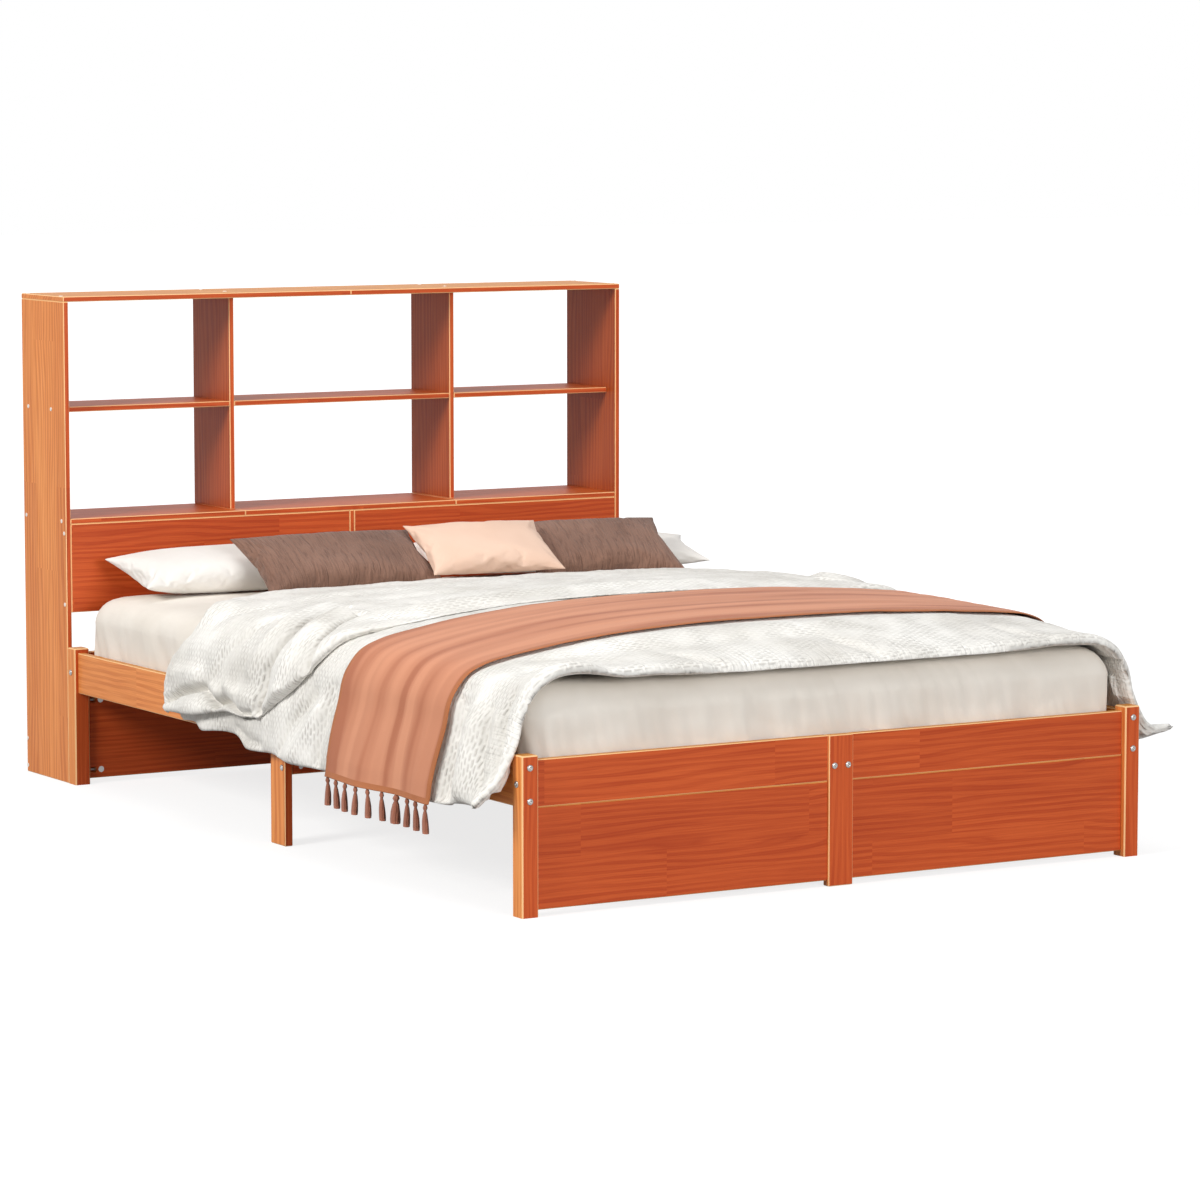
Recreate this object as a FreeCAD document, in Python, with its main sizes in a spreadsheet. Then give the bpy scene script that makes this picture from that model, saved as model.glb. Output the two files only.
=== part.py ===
import FreeCAD, Part
import math
import os
import re
import Sketcher

# Bookcase headboard bed for a 140 x 200 cm mattress, with its bedding.
# Frame: origin on the floor under the middle of the bed, +Z up, +Y towards the
# bookcase at the head, +X to the right of someone who stands at the foot.

doc = FreeCAD.newDocument("bookcase_bed")

# ---------------------------------------------------------------- dimensions
# Depths count from the back of the bookcase towards the foot, heights from the floor,
# and side distances inwards from the outer face of the bed.
DIMENSIONS = {
    # whole bed
    "bed_width": 1455,
    "bed_length": 2285,
    # bookcase headboard
    "case_height": 1100,
    "case_depth": 230,
    "case_board": 12,
    "shelf_depth": 190,
    "divider_offset": 289,
    "mid_shelf_top": 850,
    "low_shelf_top": 600,
    "low_shelf_joint": 277,
    "front_panel_height": 200,
    "front_panel_board": 18,
    "stretcher_height": 92,
    # bed frame
    "post_width": 36,
    "post_depth": 38,
    "post_height": 310,
    "post_chamfer": 2.5,
    "board_thick": 18,
    "board_inset": 11.5,
    "rail_inset": 8,
    "rail_low": 209,
    "rail_high": 300,
    "panel_low": 12,
    "mid_post_width": 57,
    "mid_post_depth": 20,
    "mid_post_inset": 7,
    "leg_width": 65,
    "leg_near": 1222,
    "beam_near": 1266,
    "beam_low": 149,
    "ledger_low": 229.5,
    "ledger_size": 20,
    "slat_width": 70,
    "slat_thick": 12,
    "slat_side_gap": 1,
    "slat_first": 275,
    "slat_last": 2245,
    "strap_inset": 260,
    "strap_width": 25,
    "strap_thick": 1,
    "edge_break": 1.6,
    # hardware
    "bolt_radius": 3,
    "bolt_head_radius": 6.5,
    "bolt_head_height": 3,
    "nut_reach": 34,
    "nut_radius": 5,
    "nut_length": 14,
    "rail_bolt_margin": 13.5,
    "beam_bolt_spacing": 32,
    "leg_bolt_height": 164,
    "leg_nut_reach": 21.6,
    "cam_radius": 7,
    "cam_depth": 12,
    "cam_offset": 68,
    "cam_low": 31,
    "cam_high": 190,
    "cam_rod_radius": 3,
    "cam_groove_near": 42,
    "cam_groove_far": 56,
    "cam_groove_height": 12,
    "screw_radius": 2.5,
    "screw_length": 50,
    "frame_screw_length": 32,
    "shelf_screw_inset": 33,
    "low_screw_back": 15,
    "low_screw_front": 22,
    "panel_screw_top": 21,
    "panel_screw_foot": 18,
    "stretcher_screw_low": 15,
    "stretcher_screw_high": 14,
    "top_screw_inset": 25,
    "ledger_screw_inset": 90,
    "beam_screw_inset": 20,
    "end_dowel_inset": 50,
    "cap_radius": 4.5,
    "cap_height": 1.2,
    "dowel_radius": 4,
    "dowel_length": 40,
    # mattress
    "mattress_width": 1400,
    "mattress_near": 262,
    "mattress_far": 2254.5,
    "mattress_low": 263,
    "mattress_corner": 62,
}

sheet = doc.addObject("Spreadsheet::Sheet", "Dims")
for row, (name, value) in enumerate(DIMENSIONS.items(), start=1):
    sheet.set("A%d" % row, name)
    sheet.set("B%d" % row, str(value))
    sheet.setAlias("B%d" % row, name)
doc.recompute()


def size(name):
    """Value of one driving dimension, in millimetres."""
    return float(sheet.get(name))


def formula(text):
    """The text with each dimension's name pointed at its cell in the sheet."""
    names = lambda m: "Dims." + m.group(0) if m.group(0) in DIMENSIONS else m.group(0)
    return re.sub(r"[a-z_]+", names, str(text))


def bind(item, prop, text):
    item.setExpression(prop, formula(text))


def bind_place(item, x, y, z):
    for axis, text in zip("xyz", (x, y, z)):
        bind(item, "Placement.Base." + axis, text)


# ------------------------------------------------------------------- helpers
LEFT, RIGHT = -1, 1
SIDES = {"left": LEFT, "right": RIGHT}
INWARD = {LEFT: "+x", RIGHT: "-x"}
OUTWARD = {LEFT: "-x", RIGHT: "+x"}


def inwards(side, distance):
    """x of a point that lies this far inwards from the outer face on that side."""
    return "%d * (bed_width / 2 - (%s))" % (side, distance)


def lowest_x(side, inset, width):
    """Lowest x of a piece that starts `inset` inwards and is `width` wide."""
    return inwards(side, inset if side == LEFT else "(%s) + (%s)" % (inset, width))


def at_depth(depth):
    """y of a point that lies `depth` from the back of the bookcase."""
    return "(bed_length + bolt_head_height) / 2 - (%s)" % depth


def origin_plane(body, role):
    return next(f for f in body.Origin.OriginFeatures if f.Role == role)


def sketch_on(body, role, name):
    sketch = body.newObject("Sketcher::SketchObject", name)
    sketch.AttachmentSupport = [(origin_plane(body, role), "")]
    sketch.MapMode = "FlatFace"
    return sketch


def draw_rectangle(sketch, low_u, low_v, length_u, length_v):
    """A rectangle whose corner and sides follow the dimensions."""
    corners = [FreeCAD.Vector(u, v, 0) for u, v in ((5, 5), (15, 5), (15, 15), (5, 15))]
    for start in range(4):
        line = Part.LineSegment(corners[start], corners[(start + 1) % 4])
        sketch.addGeometry(line, False)
    for start in range(4):
        sketch.addConstraint(Sketcher.Constraint("Coincident", start, 2, (start + 1) % 4, 1))
    for line, kind in enumerate(("Horizontal", "Vertical", "Horizontal", "Vertical")):
        sketch.addConstraint(Sketcher.Constraint(kind, line))
    limits = (
        ("length_u", Sketcher.Constraint("DistanceX", 0, 1, 0, 2, 10), length_u),
        ("length_v", Sketcher.Constraint("DistanceY", 1, 1, 1, 2, 10), length_v),
    )
    for name, constraint, text in limits:
        index = sketch.addConstraint(constraint)
        sketch.renameConstraint(index, name)
        bind(sketch, "Constraints." + name, text)
    if (low_u, low_v) == (0, 0):
        sketch.addConstraint(Sketcher.Constraint("Coincident", 0, 1, -1, 1))
        return
    for name, kind, text in (("low_u", "DistanceX", low_u), ("low_v", "DistanceY", low_v)):
        index = sketch.addConstraint(Sketcher.Constraint(kind, -1, 1, 0, 1, 5))
        sketch.renameConstraint(index, name)
        bind(sketch, "Constraints." + name, text)


def pad(body, sketch, length):
    feature = body.newObject("PartDesign::Pad", sketch.Name + "_pad")
    feature.Profile = sketch
    bind(feature, "Length", length)
    return feature


def board(name, length, corner, edge="edge_break"):
    """A planed board with its edges broken: size (x, y, z) and lowest corner."""
    body = doc.addObject("PartDesign::Body", name)
    outline = sketch_on(body, "XY_Plane", name + "_outline")
    draw_rectangle(outline, 0, 0, length[0], length[1])
    block = pad(body, outline, length[2])
    if edge:
        broken = body.newObject("PartDesign::Chamfer", name + "_edges")
        broken.Base = (block, ["Edge%d" % (i + 1) for i in range(12)])
        bind(broken, "Size", edge)
    bind_place(body, *corner)
    return body


def pocket(body, name, face, low_x, low_z, length_x, length_z, depth):
    """A pocket sunk into the board's lowest or highest y face."""
    sketch = sketch_on(body, "XZ_Plane", name)
    draw_rectangle(sketch, low_x, low_z, length_x, length_z)
    if face == "high_y":
        bind(sketch, "AttachmentOffset.Base.z", "-board_thick")
    cut = body.newObject("PartDesign::Pocket", name + "_cut")
    cut.Profile = sketch
    cut.Reversed = face == "high_y"
    bind(cut, "Length", depth)


# turns that lay a fastener, drawn along +Z, along another direction
ALONG = {
    "+x": FreeCAD.Rotation(FreeCAD.Vector(0, 1, 0), 90),
    "-x": FreeCAD.Rotation(FreeCAD.Vector(0, 1, 0), -90),
    "+y": FreeCAD.Rotation(FreeCAD.Vector(1, 0, 0), -90),
    "-y": FreeCAD.Rotation(FreeCAD.Vector(1, 0, 0), 90),
    "+z": FreeCAD.Rotation(),
    "-z": FreeCAD.Rotation(FreeCAD.Vector(1, 0, 0), 180),
}


def prism(name, radius, length, sides):
    """A short many-sided rod along +Z, for a fastener that repeats."""
    rod = doc.addObject("Part::Prism", name)
    rod.Polygon = sides
    bind(rod, "Circumradius", radius)
    bind(rod, "Height", length)
    return rod


def repeat(label, spots):
    """Identical fasteners as one group: spots are (master, x, y, z, direction)."""
    group = doc.addObject("Part::Compound", label)
    links = []
    for number, (master, x, y, z, direction) in enumerate(spots, start=1):
        link = doc.addObject("App::Link", "%s_%d" % (label, number))
        link.LinkedObject = master
        link.Placement = FreeCAD.Placement(FreeCAD.Vector(), ALONG[direction])
        bind_place(link, x, y, z)
        links.append(link)
    group.Links = links
    group.Label = label
    return group


sub_parts = {}


def keep(label, item):
    item.Label = label
    sub_parts[label] = item
    return item


# ----------------------------------------------------------------- fasteners
def bolt(name, length):
    """Round-head bolt along +Z whose head stands on the surface at z = 0."""
    head = prism(name + "_head", "bolt_head_radius", "bolt_head_height", 12)
    bind(head, "Placement.Base.z", "-bolt_head_height")
    whole = doc.addObject("Part::MultiFuse", name)
    whole.Shapes = [head, prism(name + "_shank", "bolt_radius", length, 8)]
    return whole


# Faces and centre lines that several pieces share, as depths from the bookcase's back.
HEAD_POST_FAR = "case_depth + post_depth"
FOOT_POST_NEAR = "bed_length - post_depth"
HEAD_BOARD_FAR = "case_depth + post_depth - board_inset"
FOOT_BOARD_FAR = "bed_length - board_inset"
HEAD_MIDDLE = "case_depth + post_depth - board_inset - board_thick / 2"
FOOT_MIDDLE = "bed_length - board_inset - board_thick / 2"
HEAD_MID_POST_FAR = "case_depth + post_depth - mid_post_inset"
FOOT_MID_POST_FAR = "bed_length - mid_post_inset"
SHELF_SCREWS = ("shelf_screw_inset", "shelf_depth - shelf_screw_inset")
RAIL_MIDDLE = "(rail_low + rail_high) / 2"
LEDGER_MIDDLE = "ledger_low + ledger_size / 2"

bolt_for_rail = bolt("bolt_for_rail", "post_depth + nut_reach - nut_radius")
bolt_for_board = bolt("bolt_for_board", "post_width + nut_reach - nut_radius")
bolt_for_beam = bolt("bolt_for_beam", "mid_post_depth + nut_reach - nut_radius")
bolt_for_leg = bolt("bolt_for_leg", "board_thick + leg_nut_reach - nut_radius")
barrel_nut = prism("barrel_nut", "nut_radius", "nut_length", 8)
cam_rod = prism("cam_rod", "cam_rod_radius", "cam_offset - cam_radius - post_width / 2", 8)
cam_disc = prism("cam_disc", "cam_radius", "cam_depth", 12)
case_screw = prism("case_screw", "screw_radius", "screw_length", 6)
frame_screw = prism("frame_screw", "screw_radius", "frame_screw_length", 6)
screw_cap = prism("screw_cap", "cap_radius", "cap_height", 10)
dowel = prism("dowel", "dowel_radius", "dowel_length", 6)

hardware = {}


def fasten(label, master, x, y, z, direction):
    hardware.setdefault(label, []).append((master, x, y, z, direction))


def fasten_corner(side):
    """Bolts, cross dowels and cam fittings of one side's head and foot corners."""
    rail_x = inwards(side, "rail_inset + board_thick / 2")
    rail_inner = inwards(side, "rail_inset + board_thick")
    for height in ("rail_low + rail_bolt_margin", "rail_high - rail_bolt_margin"):
        fasten("rail_bolts", bolt_for_rail, rail_x, at_depth("case_depth"), height, "-y")
        fasten("rail_bolts", bolt_for_rail, rail_x, at_depth("bed_length"), height, "+y")
        for depth in (HEAD_POST_FAR + " + nut_reach", FOOT_POST_NEAR + " - nut_reach"):
            fasten("rail_nuts", barrel_nut, rail_inner, at_depth(depth), height, OUTWARD[side])
    nut_x = inwards(side, "post_width + nut_reach")
    ends = (
        (HEAD_MIDDLE, HEAD_BOARD_FAR, "+y"),
        (FOOT_MIDDLE, FOOT_BOARD_FAR + " - board_thick", "-y"),
    )
    for middle, face, into in ends:
        fasten("board_bolts", bolt_for_board, inwards(side, 0), at_depth(middle), RAIL_MIDDLE, INWARD[side])
        fasten("board_nuts", barrel_nut, nut_x, at_depth(face), RAIL_MIDDLE, into)
        for height in ("cam_low", "cam_high"):
            start = inwards(side, "post_width / 2")
            fasten("cam_rods", cam_rod, start, at_depth(middle), height, INWARD[side])
            fasten("cam_discs", cam_disc, inwards(side, "cam_offset"), at_depth(face), height, into)


def fasten_middle(side):
    """Fittings of the middle posts, the mid legs and the slat ledgers on one side."""
    spread = "%d * beam_bolt_spacing / 2" % side
    fasten("beam_bolts", bolt_for_beam, spread, at_depth(FOOT_MID_POST_FAR), LEDGER_MIDDLE, "+y")
    head_back = HEAD_MID_POST_FAR + " - mid_post_depth"
    fasten("beam_bolts", bolt_for_beam, spread, at_depth(head_back), LEDGER_MIDDLE, "-y")
    foot_nut = FOOT_MID_POST_FAR + " - mid_post_depth - nut_reach"
    for depth in (HEAD_MID_POST_FAR + " + nut_reach", foot_nut):
        fasten("beam_nuts", barrel_nut, spread, at_depth(depth), "ledger_low", "+z")
    leg_face = inwards(side, "rail_inset")
    leg_middle = at_depth("beam_near + board_thick / 2")
    fasten("leg_bolts", bolt_for_leg, leg_face, leg_middle, "leg_bolt_height", INWARD[side])
    nut_x = inwards(side, "rail_inset + board_thick + leg_nut_reach")
    fasten("leg_nuts", barrel_nut, nut_x, at_depth("beam_near + board_thick"), "leg_bolt_height", "+y")
    ledger_inner = inwards(side, "rail_inset + board_thick + ledger_size")
    for step in range(LEDGER_SCREWS):
        span = "bed_length - case_depth - 2 * post_depth - 2 * ledger_screw_inset"
        depth = "%s + ledger_screw_inset + %d * (%s) / %d" % (HEAD_POST_FAR, step, span, LEDGER_SCREWS - 1)
        fasten("ledger_screws", frame_screw, ledger_inner, at_depth(depth), LEDGER_MIDDLE, OUTWARD[side])
    rail_x = inwards(side, "rail_inset + board_thick / 2")
    dowel_y = at_depth("leg_near + dowel_length / 2")
    fasten("leg_dowels", dowel, rail_x, dowel_y, "rail_low - dowel_length / 2", "+z")
    for middle in (HEAD_MIDDLE, FOOT_MIDDLE):
        start = "%d * (mid_post_width / 2 - dowel_length / 2)" % side
        heights = ("panel_low + end_dowel_inset", "rail_low - end_dowel_inset", RAIL_MIDDLE)
        for height in heights:
            fasten("end_dowels", dowel, start, at_depth(middle), height, OUTWARD[side])
        clear = "bed_width / 2 - mid_post_width / 2 - post_width"
        for share in (0.3, 0.7):
            x = "%d * (mid_post_width / 2 + %s * (%s))" % (side, share, clear)
            fasten("end_dowels", dowel, x, at_depth(middle), "rail_low - dowel_length / 2", "+z")


def fasten_bookcase(side):
    """Screws under white caps, and dowels, of one side of the bookcase."""
    side_screws = [(depth, "mid_shelf_top - case_board / 2") for depth in SHELF_SCREWS]
    side_screws += [(depth, "low_shelf_top - case_board / 2")
                    for depth in ("low_screw_back", "case_depth - low_screw_front")]
    panel_top = "low_shelf_top - case_board"
    side_screws += [("case_depth - front_panel_board / 2", height)
                    for height in (panel_top + " - panel_screw_top",
                                   panel_top + " - front_panel_height + panel_screw_foot")]
    side_screws += [("case_board / 2", height)
                    for height in ("stretcher_screw_low", "stretcher_height - stretcher_screw_high")]
    for depth, height in side_screws:
        fasten("case_screws", case_screw, inwards(side, 0), at_depth(depth), height, INWARD[side])
        fasten("screw_caps", screw_cap, inwards(side, 0), at_depth(depth), height, OUTWARD[side])
    divider_x = "%d * divider_offset" % side
    top_screws = [(inwards(side, "case_board / 2"), depth)
                  for depth in ("top_screw_inset", "case_depth - top_screw_inset")]
    top_screws += [(divider_x, depth) for depth in SHELF_SCREWS]
    for x, depth in top_screws:
        fasten("case_screws", case_screw, x, at_depth(depth), "case_height", "-z")
        fasten("screw_caps", screw_cap, x, at_depth(depth), "case_height", "+z")
    for depth in SHELF_SCREWS:
        fasten("case_screws", case_screw, divider_x, at_depth(depth), "low_shelf_top - case_board", "+z")
        start = "%d * (divider_offset - dowel_length / 2)" % side
        fasten("case_dowels", dowel, start, at_depth(depth), "mid_shelf_top - case_board / 2", OUTWARD[side])
        start = "%d * (low_shelf_joint - dowel_length / 2)" % side
        fasten("case_dowels", dowel, start, at_depth(depth), "low_shelf_top - case_board / 2", OUTWARD[side])


LEDGER_SCREWS = 4
SLATS = 15
for turn in SIDES.values():
    fasten_corner(turn)
    fasten_middle(turn)
    fasten_bookcase(turn)
for share in (0.25, 0.75):
    depth = "case_depth * %s" % share
    fasten("case_dowels", dowel, "-dowel_length / 2", at_depth(depth), "case_height - case_board / 2", "+x")
    height = "low_shelf_top - case_board - front_panel_height * %s" % share
    middle = "case_depth - front_panel_board / 2"
    fasten("case_dowels", dowel, "-dowel_length / 2", at_depth(middle), height, "+x")
for height in ("beam_low + beam_screw_inset", "ledger_low - beam_screw_inset"):
    fasten("beam_screws", frame_screw, 0, at_depth("beam_near - board_thick"), height, "-y")


groups = {label: repeat(label, spots) for label, spots in hardware.items()}
tool_sets = {}


def gathered(name, labels):
    """Several groups of fasteners as one compound."""
    compound = doc.addObject("Part::Compound", name)
    compound.Links = [groups[label] for label in labels]
    return compound


def bored(label, blank, *fasteners):
    """The board with the bores that its own fasteners sit in."""
    if fasteners not in tool_sets:
        tool_sets[fasteners] = gathered("tools_%d" % (len(tool_sets) + 1), fasteners)
    cut = doc.addObject("Part::Cut", label)
    cut.Base = blank
    cut.Tool = tool_sets[fasteners]
    return keep(label, cut)


# ------------------------------------------------------------------ bookcase
def case_piece(label, length, corner):
    bored(label, board(label + "_board", length, corner), "case_screws", "case_dowels")


def make_bookcase():
    upper = "case_height - case_board"
    shelf_y = at_depth("shelf_depth")
    case_y = at_depth("case_depth")
    low_z = "low_shelf_top - case_board"
    mid_z = "mid_shelf_top - case_board"
    panel_z = low_z + " - front_panel_height"
    panel_wide = "bed_width / 2 - 1.5 * case_board"
    side_shelf = "bed_width / 2 - 1.5 * case_board - divider_offset"
    for name, side in SIDES.items():
        x = lowest_x(side, 0, "case_board")
        case_piece("bookcase_side_" + name, ("case_board", "case_depth", upper), (x, case_y, 0))
        x = lowest_x(side, 0, "bed_width / 2")
        case_piece("bookcase_top_" + name, ("bed_width / 2", "case_depth", "case_board"), (x, case_y, upper))
        x = "%d * divider_offset - case_board / 2" % side
        tall = upper + " - low_shelf_top"
        case_piece("divider_" + name, ("case_board", "shelf_depth", tall), (x, shelf_y, "low_shelf_top"))
        x = lowest_x(side, "case_board", side_shelf)
        case_piece("mid_shelf_" + name, (side_shelf, "shelf_depth", "case_board"), (x, shelf_y, mid_z))
        low_wide = "bed_width / 2 - case_board - low_shelf_joint"
        x = lowest_x(side, "case_board", low_wide)
        case_piece("low_shelf_" + name, (low_wide, "case_depth", "case_board"), (x, case_y, low_z))
        x = lowest_x(side, "case_board", panel_wide)
        length = (panel_wide, "front_panel_board", "front_panel_height")
        case_piece("headboard_panel_" + name, length, (x, case_y, panel_z))
    middle_wide = "2 * divider_offset - case_board"
    length = (middle_wide, "shelf_depth", "case_board")
    case_piece("mid_shelf_centre", length, ("case_board / 2 - divider_offset", shelf_y, mid_z))
    length = ("2 * low_shelf_joint", "case_depth", "case_board")
    case_piece("low_shelf_centre", length, ("-low_shelf_joint", case_y, low_z))
    length = ("case_board", "case_depth", "front_panel_height")
    case_piece("panel_partition", length, ("-case_board / 2", case_y, panel_z))
    length = ("bed_width - 2 * case_board", "case_board", "stretcher_height")
    case_piece("back_stretcher", length, ("case_board - bed_width / 2", at_depth("case_board"), 0))


# ----------------------------------------------------------------- bed frame
def post(label, side, far):
    """A square corner post whose top edges are chamfered."""
    body = doc.addObject("PartDesign::Body", label + "_blank")
    outline = sketch_on(body, "XY_Plane", label + "_outline")
    draw_rectangle(outline, 0, 0, "post_width", "post_depth")
    block = pad(body, outline, "post_height")
    block.recompute(True)
    top = size("post_height")
    edges = ["Edge%d" % (number + 1) for number, edge in enumerate(block.Shape.Edges)
             if min(v.Z for v in edge.Vertexes) > -1 and max(v.Z for v in edge.Vertexes) > top - 1]
    broken = body.newObject("PartDesign::Chamfer", label + "_edges")
    broken.Base = (block, edges)
    bind(broken, "Size", "post_chamfer")
    bind_place(body, lowest_x(side, 0, "post_width"), at_depth(far), 0)
    bored(label, body, "rail_bolts", "board_bolts", "cam_rods")


def lower_panel(label, side, far, groove_face):
    """A lower end panel with the open grooves that its cam rods are reached through."""
    wide = "bed_width / 2 - post_width - mid_post_width / 2"
    corner = (lowest_x(side, "post_width", wide), at_depth(far), "panel_low")
    body = board(label + "_blank", (wide, "board_thick", "rail_low - panel_low"), corner)
    near = "cam_groove_near - post_width"
    groove_wide = "cam_groove_far - cam_groove_near"
    low_u = near if side == LEFT else "%s - (%s) - (%s)" % (wide, near, groove_wide)
    for height in ("cam_low", "cam_high"):
        low_v = "%s - panel_low - cam_groove_height / 2" % height
        pocket(body, "%s_groove_%s" % (label, height), groove_face, low_u, low_v,
               groove_wide, "cam_groove_height", "cam_depth")
    bored(label, body, "cam_rods", "cam_discs", "end_dowels")


def frame_piece(label, length, corner, fasteners, edge="edge_break"):
    bored(label, board(label + "_blank", length, corner, edge), *fasteners)


def make_frame():
    rail_tall = "rail_high - rail_low"
    half_wide = "bed_width / 2 - post_width - mid_post_width / 2"
    inner_long = "bed_length - case_depth - 2 * post_depth"
    ends = (("head", HEAD_POST_FAR, HEAD_BOARD_FAR, HEAD_MID_POST_FAR, "low_y"),
            ("foot", "bed_length", FOOT_BOARD_FAR, FOOT_MID_POST_FAR, "high_y"))
    for end, post_far, board_far, mid_far, groove_face in ends:
        for name, side in SIDES.items():
            post("%s_post_%s" % (end, name), side, post_far)
            length = (half_wide, "board_thick", rail_tall)
            corner = (lowest_x(side, "post_width", half_wide), at_depth(board_far), "rail_low")
            frame_piece("%s_rail_%s" % (end, name), length, corner,
                        ("board_bolts", "board_nuts", "end_dowels"))
            lower_panel("%s_panel_%s" % (end, name), side, board_far, groove_face)
        length = ("mid_post_width", "mid_post_depth", "rail_high")
        frame_piece(end + "_mid_post", length, ("-mid_post_width / 2", at_depth(mid_far), 0),
                    ("beam_bolts", "end_dowels"))
    for name, side in SIDES.items():
        x = lowest_x(side, "rail_inset", "board_thick")
        length = ("board_thick", inner_long, rail_tall)
        frame_piece("side_rail_" + name, length, (x, at_depth(FOOT_POST_NEAR), "rail_low"),
                    ("rail_bolts", "rail_nuts", "ledger_screws", "leg_dowels"))
        length = ("board_thick", "leg_width", "rail_low")
        frame_piece("mid_leg_" + name, length, (x, at_depth("leg_near + leg_width"), 0),
                    ("leg_bolts", "leg_dowels"))
        x = lowest_x(side, "rail_inset + board_thick", "ledger_size")
        length = ("ledger_size", inner_long, "ledger_size")
        frame_piece("slat_ledger_" + name, length, (x, at_depth(FOOT_POST_NEAR), "ledger_low"),
                    ("ledger_screws",), None)
    wide = "bed_width - 2 * (rail_inset + board_thick)"
    corner = ("rail_inset + board_thick - bed_width / 2", at_depth("beam_near + board_thick"), "beam_low")
    frame_piece("cross_beam", (wide, "board_thick", "ledger_low - beam_low"), corner,
                ("leg_bolts", "leg_nuts", "beam_screws"))
    corner = ("-leg_width / 2", at_depth("beam_near"), 0)
    frame_piece("centre_leg", ("leg_width", "board_thick", "ledger_low"), corner, ("beam_screws",))
    far = FOOT_MID_POST_FAR + " - mid_post_depth"
    length = ("mid_post_width", "%s - (%s)" % (far, HEAD_MID_POST_FAR), "ledger_size")
    frame_piece("centre_beam", length, ("-mid_post_width / 2", at_depth(far), "ledger_low"),
                ("beam_bolts", "beam_nuts"))


def make_slats():
    """Loose slats across the ledgers, one solid each."""
    inset = "rail_inset + board_thick + slat_side_gap"
    slats = []
    for number in range(SLATS):
        slat = doc.addObject("Part::Box", "slat_%d" % (number + 1))
        bind(slat, "Length", "bed_width - 2 * (%s)" % inset)
        bind(slat, "Width", "slat_width")
        bind(slat, "Height", "slat_thick")
        pitch = "(slat_last - slat_first - slat_width) / %d" % (SLATS - 1)
        depth = "slat_first + slat_width + %d * %s" % (number, pitch)
        bind_place(slat, "%s - bed_width / 2" % inset, at_depth(depth), "ledger_low + ledger_size")
        slats.append(slat)
    group = doc.addObject("Part::Compound", "slats")
    group.Links = slats
    keep("slats", group)
    for name, side in SIDES.items():
        strap = doc.addObject("Part::Box", "slat_strap_" + name)
        bind(strap, "Length", "strap_width")
        bind(strap, "Width", "slat_last - slat_first")
        bind(strap, "Height", "strap_thick")
        x = lowest_x(side, "strap_inset", "strap_width")
        bind_place(strap, x, at_depth("slat_last"), "ledger_low + ledger_size + slat_thick")
        keep("slat_strap_" + name, strap)


# ---------------------------------------------------------------- soft goods
SIDE_STEPS = 6
CORNER_STEPS = 5


def section_y(depth):
    """The same y as a number, for the forms that are drawn point by point."""
    return (size("bed_length") + size("bolt_head_height")) / 2 - depth


def facet(*points):
    return Part.Face(Part.makePolygon(list(points) + [points[0]]))


def ring_solid(rings):
    """Closed loft through rings of as many points each, with flat triangles between."""
    faces = [facet(*rings[0]), facet(*rings[-1])]
    for near, far in zip(rings, rings[1:]):
        count = len(near)
        for spot in range(count):
            after = (spot + 1) % count
            faces.append(facet(near[spot], near[after], far[spot]))
            faces.append(facet(near[after], far[after], far[spot]))
    solid = Part.makeSolid(Part.makeShell(faces))
    if solid.Volume < 0:
        solid.reverse()
    return solid


def keep_soft(label, *solids):
    item = doc.addObject("Part::Feature", label)
    item.Shape = solids[0] if len(solids) == 1 else Part.makeCompound(solids)
    return keep(label, item)


def rounded_ring(half_x, half_y, corner, z):
    """Rectangle about the origin with a quarter turn at each corner."""
    ring = []
    for sign_x, sign_y, start in ((1, 1, 0), (-1, 1, 90), (-1, -1, 180), (1, -1, 270)):
        for step in range(CORNER_STEPS + 1):
            turn = math.radians(start + 90 * step / CORNER_STEPS)
            x = sign_x * (half_x - corner) + corner * math.cos(turn)
            y = sign_y * (half_y - corner) + corner * math.sin(turn)
            ring.append(FreeCAD.Vector(x, y, z))
    return ring


def make_mattress():
    """Rounded block whose top edge rolls over into a slight crown.

    The profile gives heights above its underside and how far each lies inwards.
    """
    profile = ((0, 16), (12, 3), (28, 0), (100, 0), (122, 6), (144, 20), (160, 42), (169, 85), (172, 220))
    half_x = size("mattress_width") / 2
    half_y = (size("mattress_far") - size("mattress_near")) / 2
    rings = []
    for height, inset in profile:
        corner = max(size("mattress_corner") - inset / 3, 20)
        rings.append(rounded_ring(half_x - inset, half_y - inset, corner, height))
    mattress = keep_soft("mattress", ring_solid(rings))
    middle = section_y((size("mattress_far") + size("mattress_near")) / 2)
    mattress.Placement.Base = FreeCAD.Vector(0, middle, size("mattress_low"))


def pillow_ring(half_x, half_y, bow, z):
    """Four gently bent sides between the corners, drawn in where bow is negative."""
    corners = ((1, 1), (-1, 1), (-1, -1), (1, -1))
    ring = []
    for (x1, y1), (x2, y2) in zip(corners, corners[1:] + corners[:1]):
        for step in range(SIDE_STEPS):
            share = step / SIDE_STEPS
            out = 4 * share * (1 - share) * bow
            x = (x1 + (x2 - x1) * share) * half_x + out * (x1 + x2) / 2
            y = (y1 + (y2 - y1) * share) * half_y + out * (y1 + y2) / 2
            ring.append(FreeCAD.Vector(x, y, z))
    return ring


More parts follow.
